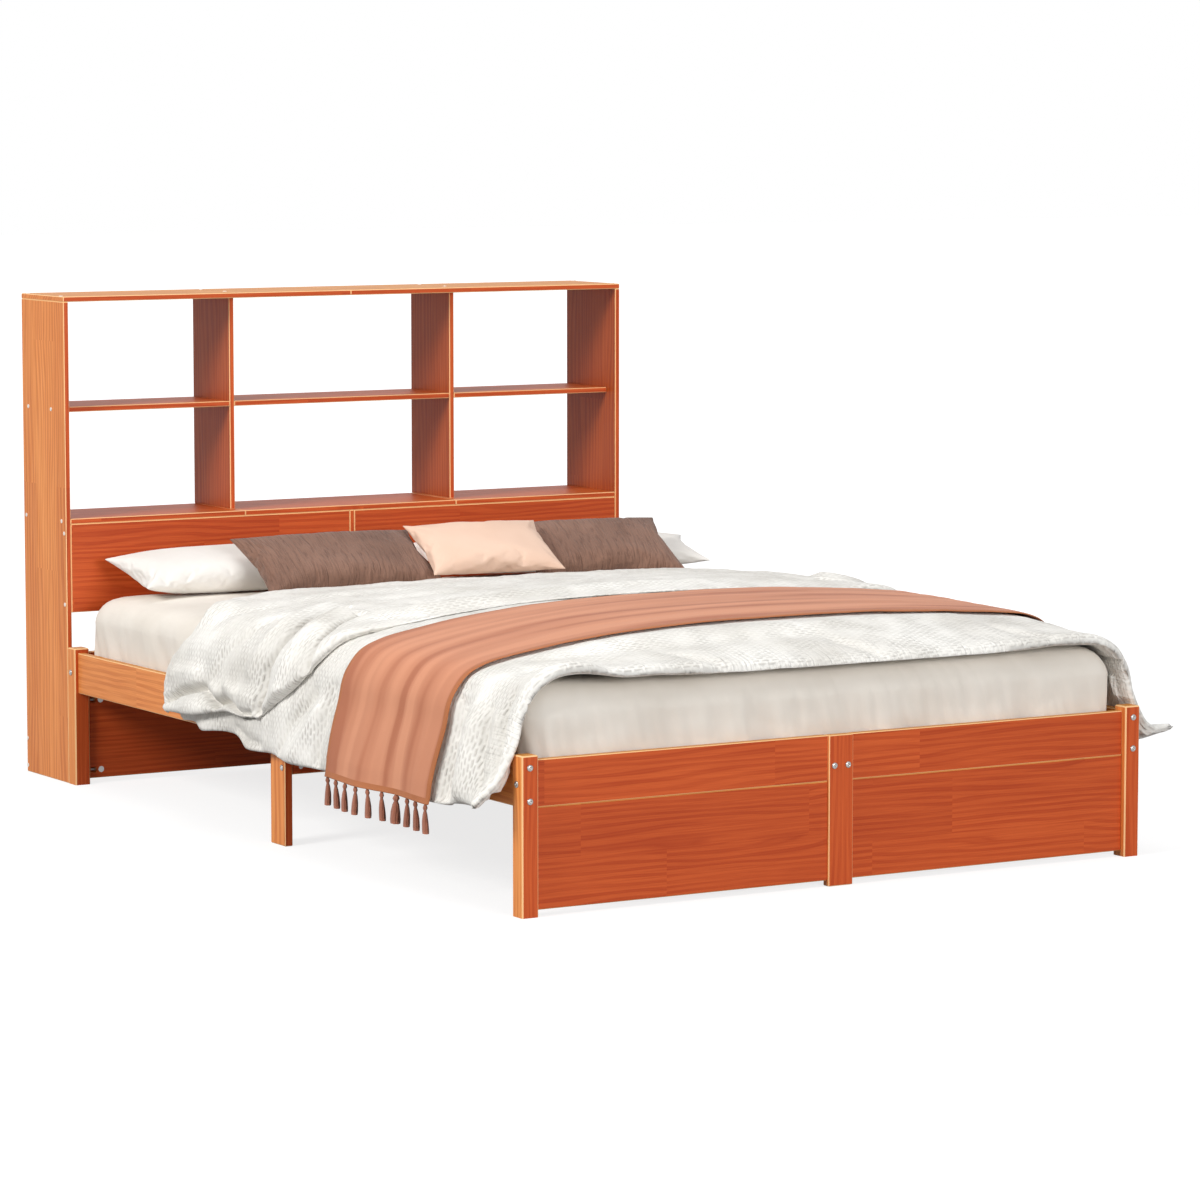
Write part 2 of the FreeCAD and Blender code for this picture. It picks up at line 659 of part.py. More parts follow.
def make_pillow(label, extent, middle, lean, turn=0):
    """A crowned pillow whose sides draw in between its corners.

    extent is its length, width and thickness; middle is (x, depth, height) of its
    centre; lean tips its head side up and turn swings it about the vertical.
    """
    length, width, thick = extent
    pull = 0.045 * width
    # height and size of each level, as shares, and how much its sides bow out
    levels = ((0.0, 1.0, -1.0), (0.22, 0.965, -0.75), (0.45, 0.89, -0.2), (0.68, 0.76, 0.4),
              (0.86, 0.57, 0.8), (0.97, 0.32, 1.0))
    rings = []
    for side in (-1, 1):
        for height, scale, bow in (reversed(levels) if side < 0 else levels[1:]):
            half_y = width / 2 * scale
            half_x = length / 2 - (width / 2 - half_y)
            rings.append(pillow_ring(half_x, half_y, bow * pull, side * height * thick / 2))
    pillow = keep_soft(label, ring_solid(rings))
    x, depth, height = middle
    place = FreeCAD.Vector(x, section_y(depth), height)
    tipped = FreeCAD.Rotation(FreeCAD.Vector(0, 0, 1), turn).multiply(
        FreeCAD.Rotation(FreeCAD.Vector(1, 0, 0), lean))
    pillow.Placement = FreeCAD.Placement(place, tipped)


def make_pillows():
    make_pillow("pillow_white_left", (630, 232, 84), (-342, 386, 486), 12)
    make_pillow("pillow_white_right", (700, 210, 70), (455, 402, 481), 12, -11)
    make_pillow("cushion_brown_left", (440, 228, 80), (-209, 546, 504), 29)
    make_pillow("cushion_brown_right", (384, 228, 78), (464, 560, 506), 29, -7)
    make_pillow("cushion_peach", (330, 200, 74), (144, 606, 530), 30, -4)


# Sections of the duvet along the bed: depth, crown of the lower layer, thickness of the
# turned-back layer, height its edge reaches down to, then hem height and swing outwards
# of the left and of the right fall.
DUVET_SECTIONS = (
    (716, 446, 4, 300, 262, 0, 262, 0),
    (738, 453, 16, 270, 250, 10, 250, 6),
    (810, 459, 20, 264, 232, 27, 236, 20),
    (895, 467, 20, 268, 229, 8, 230, 6),
    (985, 475, 20, 262, 229, 28, 228, 24),
    (1080, 481, 20, 270, 222, 6, 222, 10),
    (1180, 487, 20, 264, 207, 26, 210, 26),
    (1300, 492, 20, 290, 198, 6, 202, 8),
    (1400, 497, 20, 365, 194, 20, 197, 20),
    (1470, 500, 20, 425, 193, 10, 195, 8),
    (1500, 506, 0, 440, 193, 8, 195, 6),
    (1560, 509, 0, 440, 193, 8, 195, 8),
    (1720, 510, 0, 440, 192, 22, 194, 20),
    (1860, 508, 0, 440, 192, 6, 194, 8),
    (2010, 501, 0, 440, 192, 18, 194, 16),
    (2110, 490, 0, 440, 200, 6, 204, 6),
    (2205, 467, 0, 420, 210, 36, 236, 44),
    (2266, 444, 0, 410, 223, 74, 268, 74),
)
THROW_NEAR, THROW_FAR = 1560, 2010
THROW_HEM = 186
THROW_FACES = (7.5, 4.6)
TASSELS = 10
SHOULDER = 640


def fall_line(side, crown, hem, swing):
    """Outer line of the lower layer on one side, from the middle down to the hem."""
    share = 0.2 if side == LEFT else 0.55
    shoulder = min(max(446, 437 + share * (crown - 437)), crown - 4)
    line = [(x, shoulder + (crown - shoulder) * (1 - (x / SHOULDER) ** 2.4)) for x in (0, 210, 400, 540)]
    line += [(SHOULDER, shoulder), (684, shoulder - 16), (708, shoulder - 44)]
    line += [(724, shoulder / 2 + 152), (731, 338), (742 + 0.1 * swing, 300)]
    return line + [(750 + 0.35 * swing, 262), (757 + swing, hem)]


def lining(crown, hem, swing):
    """Inner line from the middle, over the mattress and past the rail, to the hem."""
    top = 437 if crown > 445 else crown - 20
    line = [(0, top), (400, top), (590, top - 1), (660, top - 9), (688, top - 32), (706, top - 65)]
    return line + [(711, 338), (726 + 0.1 * swing, 306), (731 + 0.35 * swing, 262), (739 + swing, hem)]


def along(line, distance):
    """Point at a distance along the line, and the unit normal on its outer side."""
    for start, end in zip(line, line[1:]):
        step = math.dist(start, end)
        if distance <= step or end == line[-1]:
            share = distance / step
            point = tuple(a + (b - a) * share for a, b in zip(start, end))
            return point, ((start[1] - end[1]) / step, (end[0] - start[0]) / step)
        distance -= step


def reach_down_to(line, height):
    """Distance along the line at which it has come down to the height."""
    total = 0
    for start, end in zip(line, line[1:]):
        if start[1] >= height > end[1]:
            return total + math.dist(start, end) * (start[1] - height) / (start[1] - end[1])
        total += math.dist(start, end)
    return total


def lifted(point, normal, gap):
    return point[0] + normal[0] * gap, point[1] + normal[1] * gap


def outer_line(side, crown, flap, flap_low, hem, swing):
    """Outer line with the turned-back layer on it down to its own edge."""
    line = fall_line(side, crown, hem, swing)
    edge = reach_down_to(line, flap_low)
    whole = sum(math.dist(a, b) for a, b in zip(line, line[1:]))
    spots = [(edge * share, flap) for share in (0, 0.25, 0.48, 0.66, 0.77, 0.84, 0.9, 0.95, 1)]
    spots += [(edge + (whole - edge) * share, 0) for share in (0.02, 0.35, 0.7, 1)]
    return [lifted(*along(line, distance), gap) for distance, gap in spots]


def band(y, outer_left, outer_right, inner_left, inner_right):
    """Closed section between an outer and an inner line, each given for both sides."""
    def mirrored(line):
        return [(-x, z) for x, z in line]
    points = mirrored(outer_left)[::-1] + outer_right[1:] + inner_right[::-1] + mirrored(inner_left)[1:]
    return [FreeCAD.Vector(x, y, z) for x, z in points]


def make_duvet():
    """Quilt over the mattress whose head half is turned back on itself."""
    rings = []
    for depth, crown, flap, flap_low, left_hem, left_swing, right_hem, right_swing in DUVET_SECTIONS:
        outer = [outer_line(LEFT, crown, flap, flap_low, left_hem, left_swing),
                 outer_line(RIGHT, crown, flap, flap_low, right_hem, right_swing)]
        inner = [lining(crown, left_hem, left_swing), lining(crown, right_hem, right_swing)]
        rings.append(band(section_y(depth), *outer, *inner))
    keep_soft("duvet", ring_solid(rings))


def throw_line(side, section, gap):
    """Line that lies this far outside the duvet and hangs past its hem."""
    crown, flap, flap_low = section[1:4]
    hem, swing = section[4:6] if side == LEFT else section[6:8]
    line = outer_line(side, crown, flap, flap_low, hem, swing)
    ends = list(zip(line, line[1:] + line[-1:]))
    ends[-1] = (line[-2], line[-1])
    raised = []
    for spot, (start, end) in zip(line, ends):
        step = math.dist(start, end)
        raised.append(lifted(spot, ((start[1] - end[1]) / step, (end[0] - start[0]) / step), gap))
    raised[0] = (0, crown + gap)
    return raised + [(raised[-1][0], THROW_HEM)]


def make_throw():
    """Thin blanket across the foot half, with tassels along both of its hems."""
    rings = []
    hems = {LEFT: [], RIGHT: []}
    for section in DUVET_SECTIONS:
        if THROW_NEAR <= section[0] <= THROW_FAR:
            lines = [throw_line(side, section, gap) for gap in THROW_FACES for side in (LEFT, RIGHT)]
            rings.append(band(section_y(section[0]), *lines))
            for side in hems:
                hems[side].append((section[0], throw_line(side, section, sum(THROW_FACES) / 2)[-1][0]))
    keep_soft("throw", ring_solid(rings))
    tassels = []
    shape = ((0.5, 2), (6, 6), (14, 3.5), (58, 8.5))  # drop below the hem and radius
    for side, hem in hems.items():
        for number in range(TASSELS):
            depth = THROW_NEAR + 12 + number * (THROW_FAR - THROW_NEAR - 24) / (TASSELS - 1)
            near, far = next((a, b) for a, b in zip(hem, hem[1:]) if a[0] <= depth <= b[0])
            x = near[1] + (far[1] - near[1]) * (depth - near[0]) / (far[0] - near[0])
            tassel = [[FreeCAD.Vector(side * x + radius * math.cos(turn * math.pi / 3),
                                      section_y(depth) + radius * math.sin(turn * math.pi / 3),
                                      THROW_HEM - drop) for turn in range(6)]
                      for drop, radius in shape]
            tassels.append(ring_solid(tassel))
    keep_soft("throw_tassels", *tassels)


make_bookcase()
make_frame()
make_slats()
make_mattress()
make_duvet()
make_throw()
make_pillows()
NODES = {
    "frame_bolts": ("rail_bolts", "board_bolts", "beam_bolts", "leg_bolts"),
    "barrel_nuts": ("rail_nuts", "board_nuts", "beam_nuts", "leg_nuts"),
    "frame_screws": ("ledger_screws", "beam_screws"),
    "dowels": ("leg_dowels", "end_dowels", "case_dowels"),
}
for label, members in NODES.items():
    keep(label, gathered(label, members))
for label in ("cam_rods", "cam_discs", "case_screws", "screw_caps"):
    keep(label, groups[label])


# -------------------------------------------------------------------- export
def check_and_export():
    doc.recompute()
    for item in doc.Objects:
        if {"Invalid", "Error"} & set(item.State):
            raise RuntimeError("%s failed: %s" % (item.Name, item.State))
        if item.TypeId == "PartDesign::Pocket" and item.Shape.Volume > item.BaseFeature.Shape.Volume - 1:
            raise RuntimeError("%s removes nothing" % item.Name)
    os.makedirs("parts", exist_ok=True)
    for label, item in sub_parts.items():
        shape = item.Shape
        if shape.isNull() or not shape.isValid() or not shape.Solids:
            raise RuntimeError("%s has no valid solid" % label)
        shape.exportStep("parts/%s.step" % label)
        print("%-26s %3d solids %10.0f mm3" % (label, len(shape.Solids), shape.Volume))


check_and_export()
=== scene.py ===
import bpy
import math
from mathutils import Vector, Matrix, noise


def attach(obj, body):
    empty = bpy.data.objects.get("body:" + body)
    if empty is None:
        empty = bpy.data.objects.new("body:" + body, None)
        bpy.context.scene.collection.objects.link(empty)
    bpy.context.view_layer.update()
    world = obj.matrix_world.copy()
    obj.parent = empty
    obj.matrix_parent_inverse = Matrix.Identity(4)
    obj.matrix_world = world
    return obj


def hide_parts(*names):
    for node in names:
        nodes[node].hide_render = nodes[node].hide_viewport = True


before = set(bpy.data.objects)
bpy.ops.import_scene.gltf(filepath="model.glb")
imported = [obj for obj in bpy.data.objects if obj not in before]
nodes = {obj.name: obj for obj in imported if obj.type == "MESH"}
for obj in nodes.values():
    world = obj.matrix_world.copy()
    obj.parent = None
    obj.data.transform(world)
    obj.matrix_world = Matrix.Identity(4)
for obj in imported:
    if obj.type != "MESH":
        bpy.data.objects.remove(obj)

scene = bpy.context.scene
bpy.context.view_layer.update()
MM = 0.001
HEAD_Y = 1.144  # y of the bookcase's back; depths count from here towards the foot


# ---- materials
def srgb(r, g, b):
    """sRGB 0-255 to the linear colour that a shader socket takes."""
    def one(c):
        c /= 255
        return c / 12.92 if c <= 0.04045 else ((c + 0.055) / 1.055) ** 2.4
    return (one(r), one(g), one(b), 1)


class Nodes:
    """Short calls for building one node material."""

    def __init__(self, name):
        self.mat = bpy.data.materials.new(name)
        self.mat.use_nodes = True
        self.tree = self.mat.node_tree
        self.tree.nodes.clear()
        self.out = self.add("ShaderNodeOutputMaterial")
        self.bsdf = self.add("ShaderNodeBsdfPrincipled")
        self.link(self.bsdf.outputs[0], self.out.inputs[0])

    def add(self, kind, **settings):
        node = self.tree.nodes.new(kind)
        for key, value in settings.items():
            setattr(node, key, value)
        return node

    def link(self, source, target):
        self.tree.links.new(source, target)

    def feed(self, socket, value):
        if isinstance(value, bpy.types.NodeSocket):
            self.link(value, socket)
        else:
            socket.default_value = value

    def math(self, operation, *values):
        node = self.add("ShaderNodeMath", operation=operation)
        for socket, value in zip(node.inputs, values):
            self.feed(socket, value)
        return node.outputs[0]

    def split(self, vector):
        """Outputs x, y and z of a vector."""
        node = self.add("ShaderNodeSeparateXYZ")
        self.link(vector, node.inputs[0])
        return node.outputs

    def joined(self, *parts):
        node = self.add("ShaderNodeCombineXYZ")
        for socket, part in zip(node.inputs, parts):
            self.feed(socket, part)
        return node.outputs[0]

    def coords(self, kind="Object", scale=(1, 1, 1)):
        source = self.add("ShaderNodeTexCoord")
        mapping = self.add("ShaderNodeMapping")
        self.link(source.outputs[kind], mapping.inputs[0])
        mapping.inputs["Scale"].default_value = scale
        return mapping.outputs[0]

    def noise(self, vector, scale, detail=2.0, rough=0.5, distortion=0.0):
        node = self.add("ShaderNodeTexNoise")
        self.link(vector, node.inputs["Vector"])
        sizes = {"Scale": scale, "Detail": detail, "Roughness": rough, "Distortion": distortion}
        for socket, value in sizes.items():
            node.inputs[socket].default_value = value
        return node.outputs["Fac"]

    def ramp(self, value, stops, smooth=False):
        node = self.add("ShaderNodeValToRGB")
        if smooth:
            node.color_ramp.interpolation = "EASE"
        elements = node.color_ramp.elements
        while len(elements) < len(stops):
            elements.new(0.5)
        for element, (place, colour) in zip(elements, stops):
            element.position = place
            element.color = colour if hasattr(colour, "__len__") else (colour, colour, colour, 1)
        self.link(value, node.inputs[0])
        return node.outputs[0]

    def mix(self, factor, a, b, blend="MIX"):
        node = self.add("ShaderNodeMix", data_type="RGBA", blend_type=blend)
        self.feed(node.inputs[0], factor)
        self.feed(node.inputs[6], a)
        self.feed(node.inputs[7], b)
        return node.outputs[2]

    def bump(self, height, strength, distance, normal=None, invert=False):
        node = self.add("ShaderNodeBump", invert=invert)
        self.link(height, node.inputs["Height"])
        node.inputs["Strength"].default_value = strength
        node.inputs["Distance"].default_value = distance
        if normal is not None:
            self.link(normal, node.inputs["Normal"])
        return node.outputs[0]


GRAIN_AXES = {"x": (0, 1, 2), "y": (1, 0, 2), "z": (2, 0, 1)}
# one pine painted lit and shaded by where a face points: lit sides and tops, shaded fronts, shaded shelf
# tops and inner faces
PINE_LIT_SIDE = srgb(246, 162, 88)
PINE_SHADED_FACE = srgb(216, 98, 44)
PINE_LIT_TOP = srgb(228, 162, 78)
PINE_SHADED_SHELF_TOP = srgb(220, 112, 46)
PINE_SHADED_INNER = srgb(186, 92, 38)
PINE_EDGE_HIGHLIGHT = srgb(248, 204, 148)
LATE_WOOD = (0.66, 0.42, 0.28, 1)  # share of the colour left in the dark growth lines
STAVE = (0.52, 0.092)  # length and width of a glued stave, in metres
STRONG_EDGE_HIGHLIGHT, FAINT_EDGE_HIGHLIGHT = 0.85, 0.12  # how far the painted highlight on a chamfered edge goes towards its colour


def painted_light_by_facing(n, x_colour, y_colour, z_colour, edge):
    """Painted light and shade by the way a face of the square work points, one colour for each axis, with a
    painted highlight on the chamfered edges.

    A list as x_colour gives the colours towards -x and towards +x.
    """
    parts = n.split(n.add("ShaderNodeNewGeometry").outputs["True Normal"])
    sizes = [n.math("ABSOLUTE", part) for part in parts]
    if isinstance(x_colour, list):
        x_colour = n.mix(n.math("GREATER_THAN", parts[0], 0.0), *x_colour)
    colour = n.mix(n.math("GREATER_THAN", sizes[1], 0.7), x_colour, y_colour)
    colour = n.mix(n.math("GREATER_THAN", sizes[2], 0.7), colour, z_colour)
    # faces at a slant are the chamfers, which take the painted edge highlight
    largest = n.math("MAXIMUM", n.math("MAXIMUM", sizes[0], sizes[1]), sizes[2])
    return colour, n.math("MULTIPLY", n.math("LESS_THAN", largest, 0.9), edge)


def wood(name, grain, seed, laminated, colours, edge=STRONG_EDGE_HIGHLIGHT):
    """Lacquered pine: fine growth lines, fibres and a few glued staves, with painted light and shade by the
    way each face points and a painted highlight on the chamfered edges.
    """
    n = Nodes(name)
    place = n.split(n.add("ShaderNodeTexCoord").outputs["Object"])
    along, across, depth = (place[i] for i in GRAIN_AXES[grain])
    flat = n.math("ADD", across, n.math("MULTIPLY", depth, 0.83))
    shift = 0.0
    if laminated:
        brick = n.add("ShaderNodeTexBrick", offset=0.37, offset_frequency=2, squash=1.0)
        face = n.joined(n.math("ADD", along, seed * 0.37), n.math("ADD", flat, seed * 0.113))
        n.link(face, brick.inputs["Vector"])
        settings = {"Scale": 1.0, "Mortar Size": 0.0, "Brick Width": STAVE[0], "Row Height": STAVE[1],
                    "Color1": (0, 0, 0, 1), "Color2": (1, 1, 1, 1)}
        for socket, value in settings.items():
            brick.inputs[socket].default_value = value
        grey = n.add("ShaderNodeRGBToBW")
        n.link(brick.outputs["Color"], grey.inputs[0])
        shift = grey.outputs[0]
    jump = n.math("MULTIPLY", shift, 3.7)
    moved = n.joined(n.math("ADD", n.math("MULTIPLY", along, 1.3), n.math("ADD", jump, seed * 1.31)),
                     n.math("ADD", n.math("MULTIPLY", flat, 11.0), n.math("ADD", jump, seed * 2.17)))
    # growth lines: 520 rad/m across the board, bent by the field
    field = n.noise(moved, 1.0, 2.0, 0.5, 0.3)
    count = n.math("ADD", n.math("MULTIPLY", flat, 520.0), n.math("MULTIPLY", field, 34.0))
    rings = n.math("MULTIPLY_ADD", n.math("SINE", count), 0.5, 0.5)
    rings = n.ramp(rings, ((0.0, 0.0), (0.45, 0.12), (0.85, 1.0), (1.0, 0.7)))
    figure = n.ramp(n.noise(moved, 2.3, 2.0), ((0.34, 0.25), (0.56, 1.0)))
    rings = n.math("MULTIPLY", rings, figure)
    thread = n.joined(n.math("ADD", n.math("MULTIPLY", along, 9.0), jump),
                      n.math("MULTIPLY", across, 460.0), n.math("MULTIPLY", depth, 460.0))
    fibre = n.noise(thread, 1.0, 3.0, 0.6)
    # painted light and shade by the way each face points
    colour, edge_highlight = painted_light_by_facing(n, *colours, edge)
    late = n.mix(1.0, colour, LATE_WOOD, "MULTIPLY")
    colour = n.mix(n.math("MULTIPLY", rings, 0.78), colour, late)
    colour = n.mix(n.ramp(fibre, ((0.36, 0.42), (0.66, 0.0))), colour, late)
    cloud = n.ramp(n.noise(moved, 0.8, 1.0), ((0.3, (0.86, 0.78, 0.72, 1)), (0.7, (1, 1, 1, 1))))
    colour = n.mix(0.6, colour, cloud, "MULTIPLY")
    if laminated:
        stave = n.ramp(shift, ((0.0, (0.84, 0.74, 0.68, 1)), (1.0, (1, 1, 1, 1))))
        colour = n.mix(0.7, colour, stave, "MULTIPLY")
    # painted highlight on the chamfered edges
    n.link(n.mix(edge_highlight, colour, PINE_EDGE_HIGHLIGHT), n.bsdf.inputs["Base Color"])
    n.link(n.ramp(fibre, ((0.2, 0.55), (0.8, 0.39))), n.bsdf.inputs["Roughness"])
    n.link(n.bump(rings, 0.08, 0.0005, n.bump(fibre, 0.10, 0.0005)), n.bsdf.inputs["Normal"])
    n.bsdf.inputs["Specular IOR Level"].default_value = 0.22
    n.bsdf.inputs["Coat Weight"].default_value = 0.03
    n.bsdf.inputs["Coat Roughness"].default_value = 0.3
    return n.mat


def metal(name, colour, rough):
    """Plated steel, a little clouded."""
    n = Nodes(name)
    cloud = n.noise(n.coords(), 900, 3)
    clouded = n.mix(0.12, colour, n.ramp(cloud, ((0.3, 0.5), (0.7, 1.0))), "MULTIPLY")
    n.link(clouded, n.bsdf.inputs["Base Color"])
    n.link(n.ramp(cloud, ((0.3, rough), (0.7, rough + 0.12))), n.bsdf.inputs["Roughness"])
    n.bsdf.inputs["Metallic"].default_value = 1.0
    return n.mat


def plastic(name, colour):
    n = Nodes(name)
    darker = tuple(c * 0.92 for c in colour[:3]) + (1,)
    n.link(n.mix(n.noise(n.coords(), 60, 2), colour, darker), n.bsdf.inputs["Base Color"])
    n.bsdf.inputs["Roughness"].default_value = 0.45
    return n.mat


def drifted(n, uv, scale, reach):
    """The same coordinates, pushed about a little by noise."""
    ripple = n.add("ShaderNodeTexNoise")
    n.link(uv, ripple.inputs["Vector"])
    ripple.inputs["Scale"].default_value = scale
    push = n.add("ShaderNodeVectorMath", operation="SCALE")
    n.link(ripple.outputs["Color"], push.inputs[0])
    push.inputs["Scale"].default_value = reach
    total = n.add("ShaderNodeVectorMath", operation="ADD")
    n.link(uv, total.inputs[0])
    n.link(push.outputs[0], total.inputs[1])
    return total.outputs[0]


def puckers(n, uv, length, pitch):
    """Rows of short dashes along u, each row half a dash on from the last."""
    place = n.split(drifted(n, uv, 22, 0.012))
    v = n.math("MULTIPLY", place[1], 1 / pitch)
    odd = n.math("MULTIPLY", n.math("FLOORED_MODULO", n.math("FLOOR", v), 2.0), 0.5)
    u = n.math("ADD", n.math("MULTIPLY", place[0], 1 / length), odd)
    far_u, far_v = (n.math("ABSOLUTE", n.math("SUBTRACT", n.math("FRACT", way), 0.5)) for way in (u, v))
    bar_u = n.ramp(far_u, ((0.24, 1.0), (0.44, 0.0)))
    bar_v = n.ramp(far_v, ((0.08, 1.0), (0.36, 0.0)))
    return n.math("MULTIPLY", bar_u, bar_v)


DASH = (0.022, 0.0068)  # length and pitch of the seersucker's dashes, in metres
WEAVE = 5200  # rad/m of the plain weave that all fabrics have


def cloth(name, colour, shade, kind="plain", sheen=0.25):
    """Fabric by kind: plain, seersucker, sheet, crinkle or throw. UVs are in metres."""
    n = Nodes(name)
    uv = n.coords("UV")
    place = n.coords()
    base = n.mix(n.ramp(n.noise(place, 7, 3), ((0.35, 0.0), (0.75, 0.6))), colour, shade)
    if kind == "seersucker":
        patch = n.ramp(n.noise(uv, 16, 2), ((0.38, 0.35), (0.62, 1.0)))
        pucker_and_shade = n.math("MULTIPLY", puckers(n, uv, *DASH), patch)
        # the puckers also darken the colour: painted shade in the puckers
        base = n.mix(n.math("MULTIPLY", pucker_and_shade, 0.55), base, shade)
        normal = n.bump(pucker_and_shade, 0.8, 0.0022, invert=True)
        normal = n.bump(n.noise(uv, 70, 3), 0.35, 0.0015, normal)
        # the foot hem's ribs fade in from 2.16 to 2.21 m; a ramp takes 0 to 1 only
        hem = n.ramp(n.math("SUBTRACT", n.split(uv)[1], 1.6), ((0.56, 0.0), (0.61, 1.0)))
        ribs = n.noise(n.coords("UV", (150, 9, 1)), 1.0, 2, 0.5, 0.4)
        normal = n.bump(n.math("MULTIPLY", ribs, hem), 0.9, 0.004, normal)
    elif kind == "crinkle":
        lines = n.noise(n.coords("UV", (150, 17, 1)), 1.0, 2, 0.5, 1.2)
        # darker along the crinkles' low lines: painted shade in the wrinkles
        base = n.mix(n.ramp(lines, ((0.30, 0.6), (0.52, 0.0))), base, shade)
        normal = n.bump(lines, 0.9, 0.005)
    elif kind == "throw":
        along, across = n.split(uv)[:2]
        drawn = n.joined(n.math("MULTIPLY", along, 0.9), n.math("MULTIPLY", across, 15.0))
        stripes = n.ramp(n.noise(drawn, 1.0, 1.5, 0.5), ((0.38, 0.0), (0.50, 0.35), (0.62, 1.0)), True)
        base = n.mix(stripes, colour, shade)
        normal = n.bump(n.noise(uv, 220, 3), 0.3, 0.0008)
    elif kind == "sheet":
        normal = n.bump(n.noise(n.coords("UV", (26, 4, 1)), 1.0, 3, 0.5, 0.6), 0.25, 0.004)
    else:
        normal = n.bump(n.noise(place, 30, 3, 0.5), 0.12, 0.003)
    warp, weft = (n.math("SINE", n.math("MULTIPLY", way, WEAVE)) for way in n.split(uv)[:2])
    normal = n.bump(n.math("MULTIPLY", warp, weft), 0.18, 0.0003, normal)
    n.link(base, n.bsdf.inputs["Base Color"])
    n.link(normal, n.bsdf.inputs["Normal"])
    n.bsdf.inputs["Roughness"].default_value = 0.85
    n.bsdf.inputs["Sheen Weight"].default_value = sheen
    n.bsdf.inputs["Sheen Roughness"].default_value = 0.5
    n.bsdf.inputs["Specular IOR Level"].default_value = 0.2
    return n.mat


def dress(name, material):
    """Gives a CAD node its material."""
    slots = nodes[name].material_slots
    if not slots:
        nodes[name].data.materials.append(material)
    for place in slots:
        place.material = material


# the boards by the way their grain runs; a board's place in the list is its seed
BOARDS = {
    "z": """bookcase_side_left bookcase_side_right divider_left divider_right panel_partition
        head_post_left head_post_right foot_post_left foot_post_right head_mid_post
        foot_mid_post mid_leg_left mid_leg_right centre_leg""",
    "x": """bookcase_top_left bookcase_top_right mid_shelf_left mid_shelf_centre mid_shelf_right
        low_shelf_left low_shelf_centre low_shelf_right headboard_panel_left
        headboard_panel_right back_stretcher head_rail_left head_rail_right foot_rail_left
        foot_rail_right head_panel_left head_panel_right foot_panel_left foot_panel_right
        cross_beam""",
    "y": "side_rail_left side_rail_right slat_ledger_left slat_ledger_right centre_beam",
}
LAMINATED = ("panel", "rail", "shelf", "top", "bookcase_side")


def dress_wood():
    seed = 0
    for grain, names in BOARDS.items():
        for name in names.split():
            seed += 1
            # the dividers' faces and the right side's inner face take a painted shade
            side = PINE_SHADED_INNER if "divider" in name else PINE_LIT_SIDE
            if name == "bookcase_side_right":
                side = [PINE_SHADED_INNER, PINE_LIT_SIDE]
            # shelf tops take a painted shade, other tops a painted light
            colours = (side, PINE_SHADED_FACE, PINE_SHADED_SHELF_TOP if "shelf" in name else PINE_LIT_TOP)
            # the foot and head panels take a fainter painted edge highlight
            edge = FAINT_EDGE_HIGHLIGHT if name.startswith(("foot_panel", "head_panel")) else STRONG_EDGE_HIGHLIGHT
            laminated = any(word in name for word in LAMINATED)
            dress(name, wood("pine_" + name, grain, seed, laminated, colours, edge))
    dress("slats", wood("pine_slats", "x", 60, False, [srgb(220, 176, 124)] * 3))
    dress("dowels", wood("beech_dowels", "x", 61, False, [srgb(206, 170, 124)] * 3))


def dress_hardware():
    for name in ("barrel_nuts", "frame_screws", "cam_rods", "cam_discs", "case_screws"):
        dress(name, metal("zinc_" + name, srgb(186, 186, 186), 0.4))
    dress("screw_caps", plastic("cap_white", srgb(240, 236, 228)))
    for name in ("slat_strap_left", "slat_strap_right"):
        dress(name, cloth("webbing_" + name, srgb(224, 218, 200), srgb(196, 188, 168)))


# ---- meshes
def mesh_piece(name, verts, faces, material, uvs):
    """A smooth mesh piece that rides on the bed; uvs holds one pair per vertex."""
    mesh = bpy.data.meshes.new(name)
    mesh.from_pydata([tuple(v) for v in verts], [], faces)
    mesh.validate()
    layer = mesh.uv_layers.new(name="metres")
    for loop in mesh.loops:
        layer.data[loop.index].uv = uvs[loop.vertex_index]
    mesh.shade_smooth()
    item = bpy.data.objects.new(name, mesh)
    scene.collection.objects.link(item)
    mesh.materials.append(material)
    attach(item, "root")
    return item


def from_head(verts):
    """Points whose y counts from the bookcase's back, in the frame."""
    return [Vector((v.x, HEAD_Y + v.y, v.z)) for v in verts]


def band(start, around):
    """Faces between the ring of points that begins at start and the next ring."""
    pairs = [(start + k, start + (k + 1) % around) for k in range(around)]
    return [(a, b, b + around, a + around) for a, b in pairs]


def smooth_step(low, high, value):
    t = min(max((value - low) / (high - low), 0), 1)
    return t * t * (3 - 2 * t)


def wave(x, y, z, scale, seed=0.0):
    """Smooth noise from -1 to 1."""
    return noise.noise(Vector((x * scale + seed * 7.3, y * scale - seed * 3.1, z * scale + seed)))


def catmull(a, b, c, d, t):
    """Smooth curve from b to c, with a and d as the neighbours."""
    return 0.5 * (2 * b + (c - a) * t + (2 * a - 5 * b + 4 * c - d) * t * t
                  + (3 * b - a - 3 * c + d) * t ** 3)


